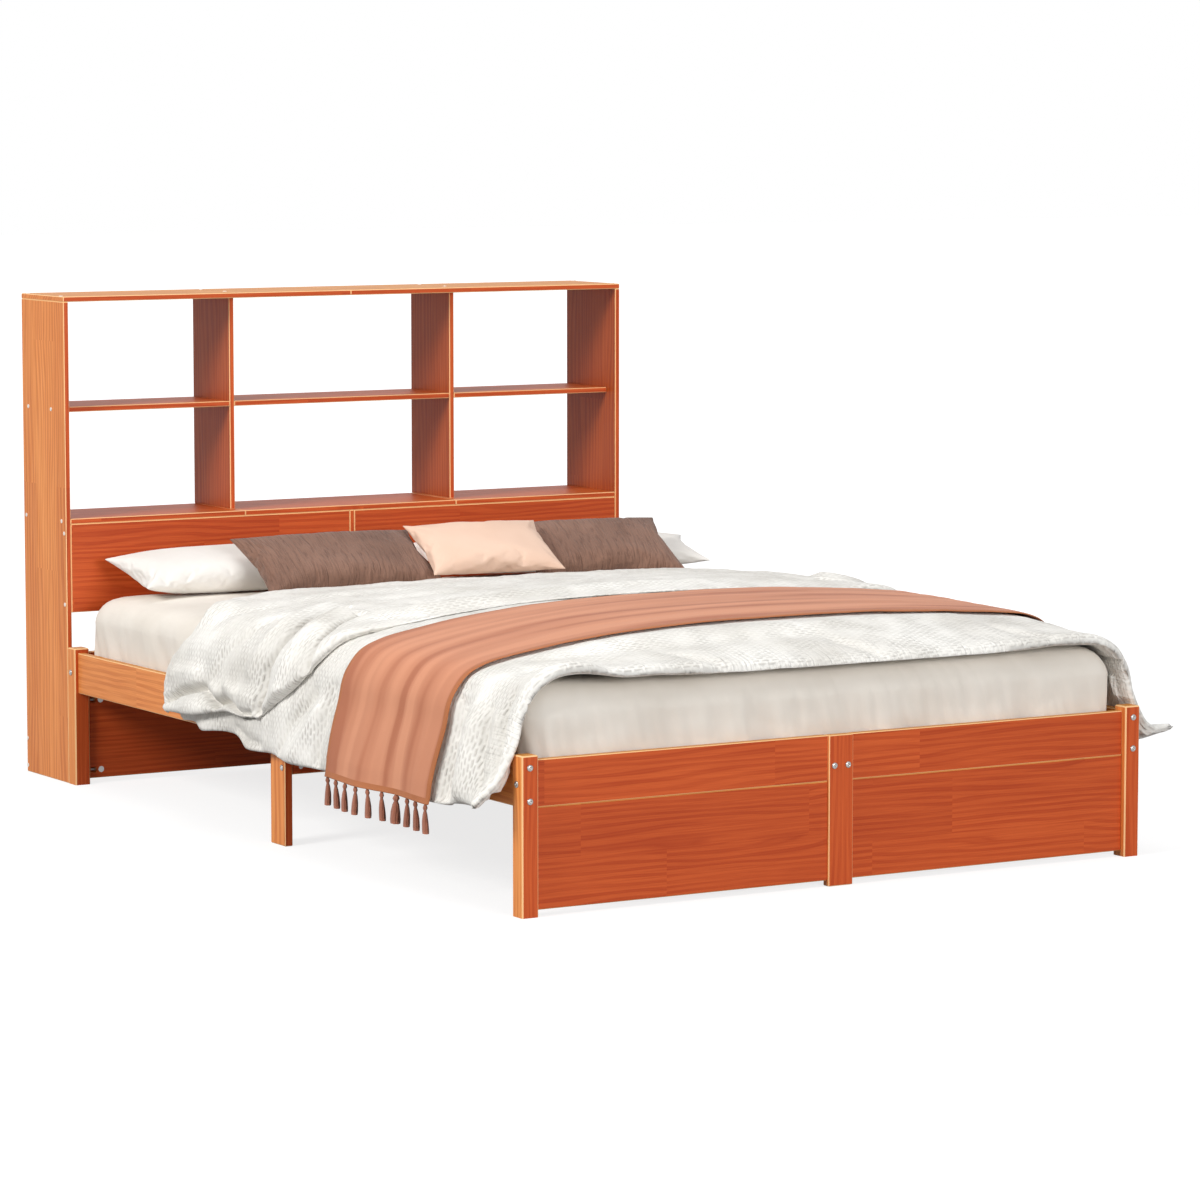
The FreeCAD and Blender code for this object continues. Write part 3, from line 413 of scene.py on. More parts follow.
# ---- duvet
# depth, crown, left hem, left swing, right hem, right swing, in mm: the solid's own sections
DUVET = (
    (716, 446, 262, 0, 262, 0), (738, 453, 250, 10, 250, 6), (810, 459, 232, 27, 236, 20),
    (895, 467, 229, 8, 230, 6), (985, 475, 229, 28, 228, 24), (1080, 481, 222, 6, 222, 10),
    (1180, 487, 207, 26, 210, 26), (1300, 492, 198, 6, 202, 8), (1400, 497, 194, 20, 197, 20),
    (1500, 506, 193, 8, 195, 6), (1560, 509, 193, 8, 195, 8), (1720, 510, 192, 22, 194, 20),
    (1860, 508, 192, 6, 194, 8), (2010, 501, 192, 18, 194, 16), (2110, 490, 200, 6, 204, 6),
    (2205, 467, 210, 36, 236, 44), (2266, 444, 223, 74, 268, 74),
)
SHOULDER = 640  # half width of the flat top
BASE_END = 2262  # depth of the foot hem
HALF = 90  # columns from the middle to a side hem


def duvet_section(depth):
    """The sections' values at any depth, on a smooth curve through them."""
    last = len(DUVET) - 1
    place = next((i for i in range(last) if depth <= DUVET[i + 1][0]), last - 1)
    a, b, c, d = (DUVET[min(max(place + k, 0), last)] for k in (-1, 0, 1, 2))
    t = min(max((depth - b[0]) / (c[0] - b[0]), 0), 1)
    return [catmull(a[k], b[k], c[k], d[k], t) for k in range(1, 6)]


def fall_line(left, crown, hem, swing):
    """Half of a section from the middle to the hem, as (x, z)."""
    share = 0.2 if left else 0.55
    shoulder = min(max(446, 437 + share * (crown - 437)), crown - 4)
    line = [(x, shoulder + (crown - shoulder) * (1 - (x / SHOULDER) ** 2.4))
            for x in range(0, SHOULDER, 40)]
    line += [(SHOULDER, shoulder), (684, shoulder - 16), (708, shoulder - 44)]
    line += [(724, shoulder / 2 + 152), (731, 338), (742 + 0.1 * swing, 300)]
    return line + [(750 + 0.35 * swing, 262), (757 + swing, hem)]


def rounded(line, times=3):
    """Chaikin's corner cutting, ends kept."""
    for _ in range(times):
        cut = [line[0]]
        for (ax, az), (bx, bz) in zip(line, line[1:]):
            cut += [(ax * near + bx * (1 - near), az * near + bz * (1 - near)) for near in (0.75, 0.25)]
        line = cut + [line[-1]]
    return line


def spaced(line, count):
    """Points at equal distances along the line, and its length."""
    runs = [0.0]
    for a, b in zip(line, line[1:]):
        runs.append(runs[-1] + math.dist(a, b))
    points, k = [], 0
    for i in range(count):
        want = runs[-1] * i / (count - 1)
        while k < len(runs) - 2 and runs[k + 1] < want:
            k += 1
        t = (want - runs[k]) / max(runs[k + 1] - runs[k], 1e-9)
        points.append(tuple(a + (b - a) * t for a, b in zip(line[k], line[k + 1])))
    return points, runs[-1]


def duvet_row(depth):
    """Outer points from the left hem to the right hem at a depth, each (x, z, s)."""
    crown, left_hem, left_swing, right_hem, right_swing = duvet_section(depth)
    row = []
    for left, hem, swing in ((True, left_hem, left_swing), (False, right_hem, right_swing)):
        points, whole = spaced(rounded(fall_line(left, crown, hem, swing)), HALF + 1)
        side = -1 if left else 1
        half = [(side * x, z, side * whole * i / HALF) for i, (x, z) in enumerate(points)]
        row += half[::-1] if left else half[1:]
    return row


class Surface:
    """Duvet's outer surface: rows over the depth, columns over the width."""

    def __init__(self, low, high, step):
        count = int(round((high - low) / step)) + 1
        self.depths = [low + (high - low) * i / (count - 1) for i in range(count)]
        self.rows = [duvet_row(d) for d in self.depths]

    def at(self, depth, column):
        """Point, unit normal and arc distance at a depth and a fractional column."""
        span = self.depths[1] - self.depths[0]
        place = min(max((depth - self.depths[0]) / span, 0), len(self.rows) - 1.001)
        row, t = int(place), place - int(place)
        column = min(max(column, 0), 2 * HALF - 0.001)
        c, u = int(column), column - int(column)

        def spot(r, k):
            x, z, s = self.rows[r][k]
            return Vector((x, -self.depths[r], z)), s
        (p00, s00), (p01, s01) = spot(row, c), spot(row, c + 1)
        (p10, s10), (p11, s11) = spot(row + 1, c), spot(row + 1, c + 1)
        point = p00.lerp(p01, u).lerp(p10.lerp(p11, u), t)
        normal = ((p01 - p00).lerp(p11 - p10, t)).cross((p10 - p00).lerp(p11 - p01, u)).normalized()
        if normal.z < 0 and abs(column - HALF) < 60:
            normal.negate()
        if normal.dot(Vector((column - HALF, 0, 40))) < 0:
            normal.negate()
        s = (s00 * (1 - u) + s01 * u) * (1 - t) + (s10 * (1 - u) + s11 * u) * t
        return point, normal, s


surface = Surface(700, 2275, 7.5)


def creases(u, v, lines):
    """Height of soft ridges and valleys: each is (width, height, points), in mm."""
    total = 0.0
    for width, height, points in lines:
        reach = 3 * width
        if not (min(p[0] for p in points) - reach < u < max(p[0] for p in points) + reach):
            continue
        if not (min(p[1] for p in points) - reach < v < max(p[1] for p in points) + reach):
            continue
        best = reach
        for (u0, v0), (u1, v1) in zip(points, points[1:]):
            du, dv = u1 - u0, v1 - v0
            t = min(max(((u - u0) * du + (v - v0) * dv) / (du * du + dv * dv), 0), 1)
            best = min(best, math.hypot(u - u0 - du * t, v - v0 - dv * t))
        total += height * math.exp(-(best / width) ** 2)
    return total


def nose(t):
    """Height share of a rounded edge, from 0 at the very edge to 1."""
    t = min(max(t, 0), 1)
    return math.sqrt(1 - (1 - t) ** 2)


def clear(spot, gap):
    """Keeps a spot of the duvet, in mm, off the rails, the foot posts and the mattress."""
    wide = abs(spot.x)
    if wide > 600:
        # half widths to keep off: mattress 700.5, rails 720, posts 728
        post = smooth_step(2215, 2235, -spot.y)
        near = 700.5 + (19.5 + 8 * post) * (1 - smooth_step(303 + 9 * post, 330, spot.z)) + gap
        if wide < near and spot.z < 405:
            spot.x = math.copysign(near, spot.x)
    top = 435.5 - 22 * max((wide - 625) / 75, 0) ** 2.2 + gap
    if wide < 660 and spot.z < top:
        spot.z = top
    return spot


def quilt(name, rows, across, spot, outer, under, material, slot):
    """A padded layer over the surface, closed all round.

    spot(a, b) is the column and depth at the shares across and along; outer and under
    (a, b, s, depth) are how far its two faces lie off the surface in mm.
    """
    faces_of = [[], []]
    uvs = []
    for j in range(rows):
        b = j / (rows - 1)
        for i in range(across):
            a = i / (across - 1)
            column, depth = spot(a, b)
            point, normal, s = surface.at(depth, column)
            for face, height, gap in zip(faces_of, (outer, under), (2.5, 0.5)):
                face.append(clear(point + normal * height(a, b, s, depth), gap) * MM)
            uvs.append((s * MM, depth * MM))
    return closed_sheet(name, faces_of[0], faces_of[1], uvs, rows, across, material, slot)


def closed_sheet(name, top, bottom, uvs, rows, across, material, slot):
    """Two grids of points joined round their rim; their y counts from the bookcase's back."""
    offset = len(top)
    faces = []
    for j in range(rows - 1):
        for i in range(across - 1):
            k = j * across + i
            faces.append((k, k + 1, k + across + 1, k + across))
            faces.append((offset + k, offset + k + across, offset + k + across + 1, offset + k + 1))
    for i in range(across - 1):
        k = (rows - 1) * across + i
        faces.append((i + 1, i, offset + i, offset + i + 1))
        faces.append((k, k + 1, offset + k + 1, offset + k))
    for j in range(rows - 1):
        k = j * across
        faces.append((k, k + across, offset + k + across, offset + k))
        k += across - 1
        faces.append((k + across, k, offset + k, offset + k + across))
    return mesh_piece(name, from_head(top + bottom), faces, material, uvs + uvs)


# width, height and (distance across, depth) points of each ridge or valley, in mm;
# the first is the crumpled line above the fold's left hem
FLAP_FOLDS = (
    (7, -34, ((-893, 806), (-866, 862), (-852, 890), (-834, 984), (-845, 1010), (-865, 1056), (-847, 1092),
              (-858, 1130), (-873, 1164), (-868, 1222))),
    (18, -7, ((-884, 830), (-846, 984), (-872, 1164))),
    (20, 12, ((-818, 850), (-806, 950))), (14, 12, ((-826, 1034), (-838, 1064))),
    (13, 12, ((-820, 1100), (-832, 1140))), (18, 9, ((-838, 1186), (-835, 1236))),
    (12, -32, ((-856, 1254), (-771, 1252), (-740, 1266), (-698, 1278), (-656, 1268), (-540, 1220))),
    (28, 15, ((-800, 1322), (-735, 1340), (-690, 1342), (-590, 1290))),
    (9, -20, ((-785, 1412), (-738, 1420), (-696, 1408), (-640, 1370), (-560, 1322))),
    (22, 10, ((-780, 1195), (-690, 1215), (-540, 1150))),
    (12, -10, ((-830, 1010), (-765, 1045), (-700, 1120), (-620, 1150))),
    (26, -9, ((-760, 800), (-700, 930), (-620, 1000))), (30, 8, ((-720, 760), (-650, 880))),
    (24, -7, ((-420, 1330), (-140, 1350), (60, 1330))), (24, 7, ((-450, 1395), (-100, 1410), (220, 1400))),
    (20, -8, ((-560, 1400), (-480, 1440), (-300, 1452))), (26, -6, ((-420, 1180), (-180, 1230), (20, 1200))),
    (30, 6, ((-500, 1000), (-260, 1090), (-60, 1080))), (22, -6, ((120, 1380), (380, 1400), (560, 1350))),
    (6, -22, ((890, 806), (862, 880), (846, 980), (868, 1060), (850, 1120), (868, 1222))),
    (18, 11, ((822, 850), (812, 960))), (14, 11, ((834, 1040), (830, 1130))),
    (14, -20, ((856, 1254), (765, 1262), (690, 1270), (570, 1220))),
    (28, 13, ((800, 1325), (730, 1338), (610, 1290))), (11, -13, ((780, 1415), (700, 1408), (580, 1330))),
)
BASE_FOLDS = (
    (13, -16, ((-800, 1440), (-860, 1372), (-940, 1330))), (20, 12, ((-830, 1490), (-940, 1410))),
    (11, -12, ((-905, 1110), (-925, 1235))), (15, -12, ((-780, 1520), (-940, 1500))),
    (26, -26, ((-740, 2040), (-860, 2034), (-960, 2036))),
    (34, 22, ((-790, 2112), (-880, 2108), (-940, 2112))),
    (8, -11, ((-740, 2146), (-840, 2162), (-905, 2196))), (16, 8, ((-760, 2185), (-850, 2200))),
    (8, -12, ((-700, 2200), (-790, 2222), (-880, 2246))), (7, -7, ((-800, 2080), (-930, 2090))),
    (26, -28, ((740, 2040), (860, 2034), (960, 2036))), (34, 18, ((790, 2112), (880, 2108), (940, 2112))),
    (8, -11, ((740, 2146), (840, 2162), (905, 2196))), (8, -10, ((700, 2200), (790, 2222), (880, 2246))),
    (26, -7, ((-560, 2060), (-300, 2130), (40, 2120))), (30, 7, ((-420, 2050), (100, 2070), (420, 2060))),
    (20, -7, ((-620, 2120), (-560, 2200), (-520, 2250))), (16, -6, ((-330, 2160), (-270, 2250))),
    (18, -7, ((60, 2170), (110, 2250))), (18, -6, ((470, 2130), (520, 2250))),
)


def cloth_relief(s, depth, seed, hanging=1.0):
    """Unevenness of the filling, and the upright ripples of the part that hangs."""
    hang = smooth_step(640, 820, abs(s))
    rise = 3.5 * wave(s, depth, 0, 0.006, seed) + 2.2 * wave(s, depth, 0, 0.018, seed + 1)
    ripples = 6 * wave(s * 0.3, depth, 0, 0.016, seed + 2) + 2.2 * wave(s * 0.25, depth, 0, 0.05, seed + 3)
    rise += hang * hanging * ripples
    return rise + 0.9 * wave(s * 0.5, depth, 0, 0.12, seed + 4)


# column and depth of the duvet's head edge: it is drawn back where it turns down the sides
HEAD_EDGE = ((0, 850), (1, 838), (4.5, 815), (7, 802), (10, 796), (12.5, 800), (15, 826), (18, 854),
             (21, 862), (23, 855), (28, 818), (34, 775), (42, 728), (50, 704), (HALF, 704))


def head_edge(column):
    """Depth of the duvet's head edge at a column."""
    near = min(column, 2 * HALF - column)
    for (c0, d0), (c1, d1) in zip(HEAD_EDGE, HEAD_EDGE[1:]):
        if near <= c1:
            return d0 + (d1 - d0) * smooth_step(c0, c1, near)
    return HEAD_EDGE[-1][1]


def flap_edge(column):
    """Depth of the turned-back layer's edge at a column: it sweeps headwards down the sides."""
    out = abs(column - HALF) / HALF
    return 1482 - 20 * out - 260 * smooth_step(0.70, 1.0, out) ** 1.3


def flap_spot(a, b):
    hem = 0.6 + 5.6 * smooth_step(0.22, 1.0, b)
    column = hem + (2 * HALF - 2 * hem) * a
    start = head_edge(column)
    end = flap_edge(column) + 5 * wave(column * 10, 0, 0, 0.012, 21)
    return column, start + (end - start) * b


def base_spot(a, b):
    column = 2 * HALF * a
    start = head_edge(column) + 20
    return column, start + (BASE_END - start) * b


def make_duvet():
    """The base over the whole bed and the layer turned back over it at the head."""
    material = cloth("seersucker", srgb(246, 244, 239), srgb(200, 195, 186), "seersucker", 0.15)

    def rim(a, b, side, head, foot):
        """Height share where the edges are rounded, over these shares of the piece."""
        return min(nose(a / side), nose((1 - a) / side), nose(b / head), nose((1 - b) / foot))

    def hem_lift(s, depth):
        """How far the foot hem stands up off the mattress."""
        rise = 26 * math.exp(-((s + 600) / 95) ** 2) + 9 * math.exp(-((s + 420) / 130) ** 2)
        rise += 12 * math.exp(-((s - 560) / 130) ** 2) + 2 * wave(s, 0, 0, 0.014, 61)
        return rise * smooth_step(2130, BASE_END, depth) * (1 - smooth_step(690, 790, abs(s)))

    def hollow(s, depth):
        """How far the base hangs in below the fold's side hem."""
        along = smooth_step(760, 860, depth) * (1 - smooth_step(1230, 1330, depth))
        return 24 * along * smooth_step(845, 935, abs(s))

    def deep(s, depth):
        """How far the fold's deepest creases press the layers below them in."""
        if abs(s) < 560 or depth > 1520:
            return 0
        return max(min(creases(s, depth, FLAP_FOLDS) + 17, 0), -14)

    def pressed(height, s, depth):
        return height + hem_lift(s, depth) - hollow(s, depth) + deep(s, depth)

    base_rim = (0.014, 0.01, 0.016)

    def base_outer(a, b, s, depth):
        edge = rim(a, b, *base_rim)
        loose = smooth_step(1480, 1560, depth) * (1 - smooth_step(1990, 2040, depth))
        relief = cloth_relief(s, depth, 31) * (1 - 0.85 * loose) + creases(s, depth, BASE_FOLDS)
        covered = smooth_step(1380, 1480, depth) if abs(s) < 700 else 1
        puffed = 6 * smooth_step(2200, 2250, depth)
        height = -9 + (9 + puffed) * edge + (relief - 1) * edge * covered
        column = 2 * HALF * a
        inside = smooth_step(6.4, 8, min(column, 2 * HALF - column))
        inside *= 1 - smooth_step(flap_edge(column) - 40, flap_edge(column) - 12, depth)
        height += (min(height, -0.5) - height) * inside
        return pressed(height, s, depth)

    def base_under(a, b, s, depth):
        folds = creases(s, depth, BASE_FOLDS) if abs(s) > 760 and depth > 1980 else 0
        return pressed(-9 - 9 * rim(a, b, *base_rim), s, depth) + min(folds, 0)

    base = quilt("duvet_base", 300, 400, base_spot, base_outer, base_under, material, "duvet_seersucker")

    def flap_outer(a, b, s, depth):
        flat = 1 - smooth_step(500, 700, abs(s))
        edge = rim(a, b, 0.013, 0.03, 0.022 + 0.05 * flat)
        puffed = (4 - 7 * flat) * smooth_step(0.9, 0.98, b) + 4 * smooth_step(850, 890, abs(s))
        filling = 11 + puffed + cloth_relief(s, depth, 41, 0.5) + creases(s, depth, FLAP_FOLDS)
        outer = 9 - 7.5 * flat * smooth_step(0.88, 1, b) + filling * edge
        return max(outer, 1.5 + deep(s, depth))

    def flap_under(a, b, s, depth):
        flat = (1 - smooth_step(500, 700, abs(s))) * smooth_step(0.88, 1, b)
        over = max(9 - 7.5 * flat - 8 * rim(a, b, 0.013, 0.03, 0.022), 0.6)
        return over + deep(s, depth) - 12 * (1 - smooth_step(0.0, 0.05, b))

    flap = quilt("duvet_fold", 250, 430, flap_spot, flap_outer, flap_under, material, "duvet_seersucker")
    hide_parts("duvet")


# ---- throw
THROW_START, THROW_WIDTH = 1560, 450  # along the bed, in mm
THROW_HEM = 186  # height of the side hems, where the tassels hang


def make_throw():
    """A thin strip over the duvet, with a plain hem all round."""
    material = cloth("throw_weave", srgb(213, 148, 116), srgb(178, 112, 84), "throw", 0.08)
    hem_material = cloth("throw_hem", srgb(180, 112, 72), srgb(158, 94, 58), "plain", 0.15)
    rows, across = 64, 360
    faces_of, uvs = ([], []), []
    for j in range(rows):
        share = j / (rows - 1)
        for i in range(across):
            column = 2 * HALF * i / (across - 1)
            depth = THROW_START + THROW_WIDTH * share + 4 * wave(column * 10, share, 0, 0.009, 51)
            point, normal, s = surface.at(depth, column)
            fold = 1.9 * (1 + wave(s * 0.2, depth, 0, 0.016, 9))
            fold += 0.8 * (1 + wave(s * 0.3, depth, 0, 0.045, 10))
            edge = nose(share / 0.02) * nose((1 - share) / 0.02)
            for face, lift in zip(faces_of, (2.6 + 2.2 * edge, 2.4)):
                spot = point + normal * (lift + fold)
                end = min(i, across - 1 - i)
                if end < 6:
                    spot.z += (THROW_HEM - spot.z) * (1 - end / 6)
                face.append(spot * MM)
            uvs.append((s * MM, (depth - THROW_START) * MM))
    throw = closed_sheet("throw_cloth", *faces_of, uvs, rows, across, material, "throw_weave")
    throw.data.materials.append(hem_material)
    for face in throw.data.polygons:
        row, place = divmod(face.vertices[0] % (rows * across), across)
        if min(row, rows - 2 - row) < 2 or min(place, across - 1 - place) < 3:
            face.material_index = 1
    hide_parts("throw")


# drop and radius of a tassel's rings, in mm: cord, knot, neck and skirt
TASSEL = ((1, 1.6), (-3, 4.5), (-8, 6.2), (-13, 3.6), (-20, 5.2), (-34, 7.2), (-50, 8.0), (-58, 7.4))


def make_tassels():
    """Ten tassels at each side hem; the seventh is thicker."""
    material = cloth("tassel_yarn", srgb(176, 112, 88), srgb(120, 66, 48), "crinkle", 0.3)
    around = 12
    verts, faces, uvs = [], [], []
    for side in (0, 1):
        for number in range(10):
            depth = THROW_START + 12 + number * 426 / 9
            point, normal, _ = surface.at(depth, 2 * HALF * side)
            x = point.x + normal.x * 3
            thick = 1.5 if number == 6 else 1.0
            for ring, (drop, radius) in enumerate(TASSEL):
                start = len(verts)
                lean = 2.5 * math.sin(number * 1.7 + drop * 0.05)
                for k in range(around):
                    turn = 2 * math.pi * k / around
                    r = radius * thick * (1 + (0.14 if k % 2 else -0.14) * (drop < -14))
                    y = -depth + r * math.sin(turn) + lean
                    verts.append(Vector((x + r * math.cos(turn) * 0.7, y, THROW_HEM + drop)) * MM)
                    uvs.append((k / around * 0.04, drop * MM))
                faces += band(start - around, around) if ring else [tuple(range(start, start + around))]
            faces.append(tuple(reversed(range(len(verts) - around, len(verts)))))
    tassels = mesh_piece("tassels", from_head(verts), faces, material, uvs)
    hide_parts("throw_tassels")


# ---- mattress
def make_mattress():
    """Block with a fitted sheet, drawn into upright gathers towards its lower edge."""
    material = cloth("fitted_sheet", srgb(238, 231, 221), srgb(220, 211, 199), "sheet", 0.12)
    half_x, half_y, corner_size = 699.0, 995.5, 62
    middle = (262 + 2254.5) / 2  # depth, between the head end and the foot end
    # height over the underside and inset from the side, up to the flat top
    profile = [(0, 14), (5, 7), (14, 2), (28, 0)] + [(h, 0) for h in range(38, 112, 9)]
    profile += [(116, 1), (126, 4), (136, 9), (145, 15), (153, 23), (159, 33), (164, 48), (168, 75)]
    profile += [(171, 130)] + [(172, inset) for inset in (220, 320, 420, 520, 600, 660)]
    around, arc = 1200, 0.06  # points round it, and the share of each quarter that is corner
    lap = 6000  # the whole way round, on the gathers' own scale
    corners = ((1, 1), (-1, 1), (-1, -1), (1, -1))
    verts, uvs = [], []
    for height, inset in profile:
        corner = max(corner_size - inset / 3, 18)
        hx, hy = half_x - inset, half_y - inset
        for i in range(around):
            turn = i / around * 4
            quarter = int(turn)
            t = turn - quarter
            sx, sy = corners[quarter]
            angle = math.radians(90 * quarter + 90 * min(t / arc, 1))
            out = Vector((math.cos(angle), math.sin(angle)))
            spot = Vector((sx * (hx - corner), sy * (hy - corner))) + out * corner
            if t > arc:
                nx, ny = corners[(quarter + 1) % 4]
                further = Vector((nx * (hx - corner), ny * (hy - corner))) + out * corner
                spot = spot.lerp(further, (t - arc) / (1 - arc))
            run = i / around * lap + 0.25 * height
            low = 1 - smooth_step(40, 165, height)
            folds = 10 * wave(run, height * 0.12, 0, 0.013, 11) + 5 * wave(run, height * 0.2, 0, 0.038, 12)
            folds += 1.6 * wave(run, height, 0, 0.008, 13)
            at_foot = smooth_step(1500, 1560, 3000 - abs(run - 3750) * 2)
            folds += 3.0 * wave(run, height * 1.6, 0, 0.017, 14) * at_foot
            spot += out * (min(folds - 5, 0) * (0.3 + 0.8 * low) * (1 - smooth_step(30, 80, inset)))
            verts.append(Vector((spot.x, HEAD_Y * 1000 - middle + spot.y, 263 + height)) * MM)
            uvs.append((run * MM, (height + inset) * MM))
    faces = []
    for j in range(len(profile) - 1):
        faces += band(j * around, around)
    faces.append(tuple(reversed(range(around))))
    faces.append(tuple(range((len(profile) - 1) * around, len(profile) * around)))
    mattress = mesh_piece("mattress_sheet", verts, faces, material, uvs)
    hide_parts("mattress")


# ---- bolts
def solids_of(item):
    """Corners of a CAD node's separate solids, one list for each."""
    owner, points = {}, {}

    def root(key):
        while owner[key] != key:
            key = owner[key]
        return key

    for vertex in item.data.vertices:
        key = tuple(round(c, 5) for c in vertex.co)
        owner.setdefault(key, key)
        points[vertex.index] = key
    for edge in item.data.edges:
        a, b = (root(points[k]) for k in edge.vertices)
        owner[a] = b
    solids = {}
    for key in owner:
        solids.setdefault(root(key), []).append(Vector(key))
    return list(solids.values())


# radius and height of the domed head, in mm: from its seat over the dome to the socket's floor
BOLT_HEAD = ((6.4, 0), (6.5, 0.9), (6.2, 1.7), (5.3, 2.4), (4.0, 2.85), (2.9, 3.0), (2.5, 2.9),
             (2.3, 2.4), (2.2, 1.2), (0, 1.2))
HEAD_HEIGHT = 0.003
SHANK_REACH = 0.0055  # points farther than this from a bolt's axis are its head's


def make_bolts():
    """Domed socket heads and plain shanks where the CAD bolts are."""
    around = 24
    verts, faces, uvs = [], [], []
    for points in solids_of(nodes["frame_bolts"]):
        low = Vector([min(p[k] for p in points) for k in range(3)])
        high = Vector([max(p[k] for p in points) for k in range(3)])
        axis = max(range(3), key=lambda k: high[k] - low[k])
        length = high[axis] - low[axis]
        middle = (low + high) / 2
        wide = []
        for p in points:
            away = p - middle
            away[axis] = 0
            if away.length > SHANK_REACH:
                wide.append(p)
        side = 1 if sum(p[axis] for p in wide) / len(wide) > middle[axis] else -1
        out = Vector([side if k == axis else 0 for k in range(3)])
        across = Vector([1 if k == (axis + 1) % 3 else 0 for k in range(3)])
        other = out.cross(across)
        seat = middle + out * length / 2 - out * HEAD_HEIGHT
        rings = ((2.9, -length * 1000 + 3.4), (3.0, -0.1)) + BOLT_HEAD
        for number, (radius, height) in enumerate(rings):
            start = len(verts)
            for k in range(around):
                turn = 2 * math.pi * k / around
                spoke = across * math.cos(turn) + other * math.sin(turn)
                verts.append(seat + out * height * MM + spoke * radius * MM)
                uvs.append((k / around, height * MM))
            if number:
                faces += band(start - around, around)
    steel = metal("bolt_steel", srgb(168, 166, 164), 0.25)
    bolts = mesh_piece("bolts", verts, faces, steel, uvs)
    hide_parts("frame_bolts")


# ---- pillows
PILLOWS = (
    # name, node, (length, width, thickness), (x, depth, height), lean, turn, pressure
    ("pillow_left", "pillow_white_left", (630, 232, 84), (-342, 386, 486), 12, 0, 5),
    ("pillow_right", "pillow_white_right", (700, 210, 70), (455, 402, 481), 12, -11, 5),
    ("cushion_left", "cushion_brown_left", (458, 228, 80), (-200, 546, 504), 29, 0, 4),
    ("cushion_right", "cushion_brown_right", (384, 228, 78), (464, 560, 506), 29, -7, 4),
    ("cushion_front", "cushion_peach", (336, 200, 74), (141, 606, 525), 30, -4, 4),
)


def flat_cover(length, width, thick, seed):
    """Two sheets sewn round their rim, a little apart, in metres about the origin."""
    nx, ny = int(length / 4.4), int(width / 5)
    verts, uvs, index, faces = [], [], {}, []
    for side in (1, -1):
        for j in range(ny + 1):
            for i in range(nx + 1):
                u, v = 2 * i / nx - 1, 2 * j / ny - 1
                if side < 0 and (i in (0, nx) or j in (0, ny)):
                    index[side, i, j] = index[1, i, j]
                    continue
                x, y = u * length / 2, v * width / 2
                edge = min((1 - abs(u)) * length / 2, (1 - abs(v)) * width / 2)
                z = side * min(edge * 0.35, thick) + (wave(x, y, side * 40, 0.03, seed) if edge else 0)
                index[side, i, j] = len(verts)
                verts.append(Vector((x, y, z)) * MM)
                uvs.append((x * MM, y * MM))
        for j in range(ny):
            for i in range(nx):
                quad = [index[side, i + a, j + b] for a, b in ((0, 0), (1, 0), (1, 1), (0, 1))]
                faces.append(tuple(quad if side > 0 else quad[::-1]))
    return verts, faces, uvs


def inflate(verts, faces, pressure):
    """Points of the cover after cloth simulation under inner pressure."""
    frames = 20
    mesh = bpy.data.meshes.new("cover")
    mesh.from_pydata([tuple(v) for v in verts], [], faces)
    cover = bpy.data.objects.new("cover", mesh)
    scene.collection.objects.link(cover)
    modifier = cover.modifiers.new("cloth", "CLOTH")
    settings = modifier.settings
    settings.quality = 5
    settings.mass = 0.25
    settings.tension_stiffness = 25
    settings.compression_stiffness = 12
    settings.shear_stiffness = 5
    settings.bending_stiffness = 0.12
    settings.tension_damping = settings.compression_damping = settings.shear_damping = 8
    settings.air_damping = 2
    settings.use_pressure = True
    settings.uniform_pressure_force = pressure
    settings.effector_weights.gravity = 0
    modifier.collision_settings.use_collision = False
    modifier.point_cache.frame_start = 1
    modifier.point_cache.frame_end = frames
    for step in range(1, frames + 1):
        scene.frame_set(step)
    settled = cover.evaluated_get(bpy.context.evaluated_depsgraph_get()).data
    points = [v.co.copy() for v in settled.vertices]
    bpy.data.objects.remove(cover)
    scene.frame_set(1)
    return points


def subdivided(item):
    """The same piece with one subdivision applied."""
    item.modifiers.new("smooth", "SUBSURF").levels = 1
    mesh = bpy.data.meshes.new_from_object(item.evaluated_get(bpy.context.evaluated_depsgraph_get()))
    item.modifiers.clear()
    item.data = mesh


def make_pillow(name, node, extent, middle, lean, turn, pressure, material, slot, fill):
    """Cushion inflated flat, fitted to its size and laid in its place."""
    seed = len(name) + extent[0] / 100
    verts, faces, uvs = flat_cover(extent[0] * 1.02, extent[1] * 1.04, 9, seed)
    points = inflate(verts, faces, pressure)
    spans = [max(p[k] for p in points) - min(p[k] for p in points) for k in range(3)]
    fit = [size * MM / span for size, span in zip(extent, spans)]
    for p in points:  # the sides' middles are drawn in, so that the corners point
        u, v = (min(abs(2 * p[k] / spans[k]), 1) for k in (0, 1))
        drawn = (1 - 0.05 * u ** 3 * (1 - v ** 2), 1 - 0.11 * v ** 3 * (1 - u ** 2),
                 1 - 0.25 * u ** 6 * v ** 2)
        for k in range(3):
            p[k] *= drawn[k]
    place = Matrix.Translation((middle[0] * MM, HEAD_Y - middle[1] * MM, middle[2] * MM))
    place = place @ Matrix.Rotation(math.radians(turn), 4, "Z") @ Matrix.Rotation(math.radians(lean), 4, "X")
    laid = [place @ Vector([p[k] * fit[k] for k in range(3)]) for p in points]
    item = mesh_piece(name, laid, faces, material, uvs)
    subdivided(item)
    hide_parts(node)


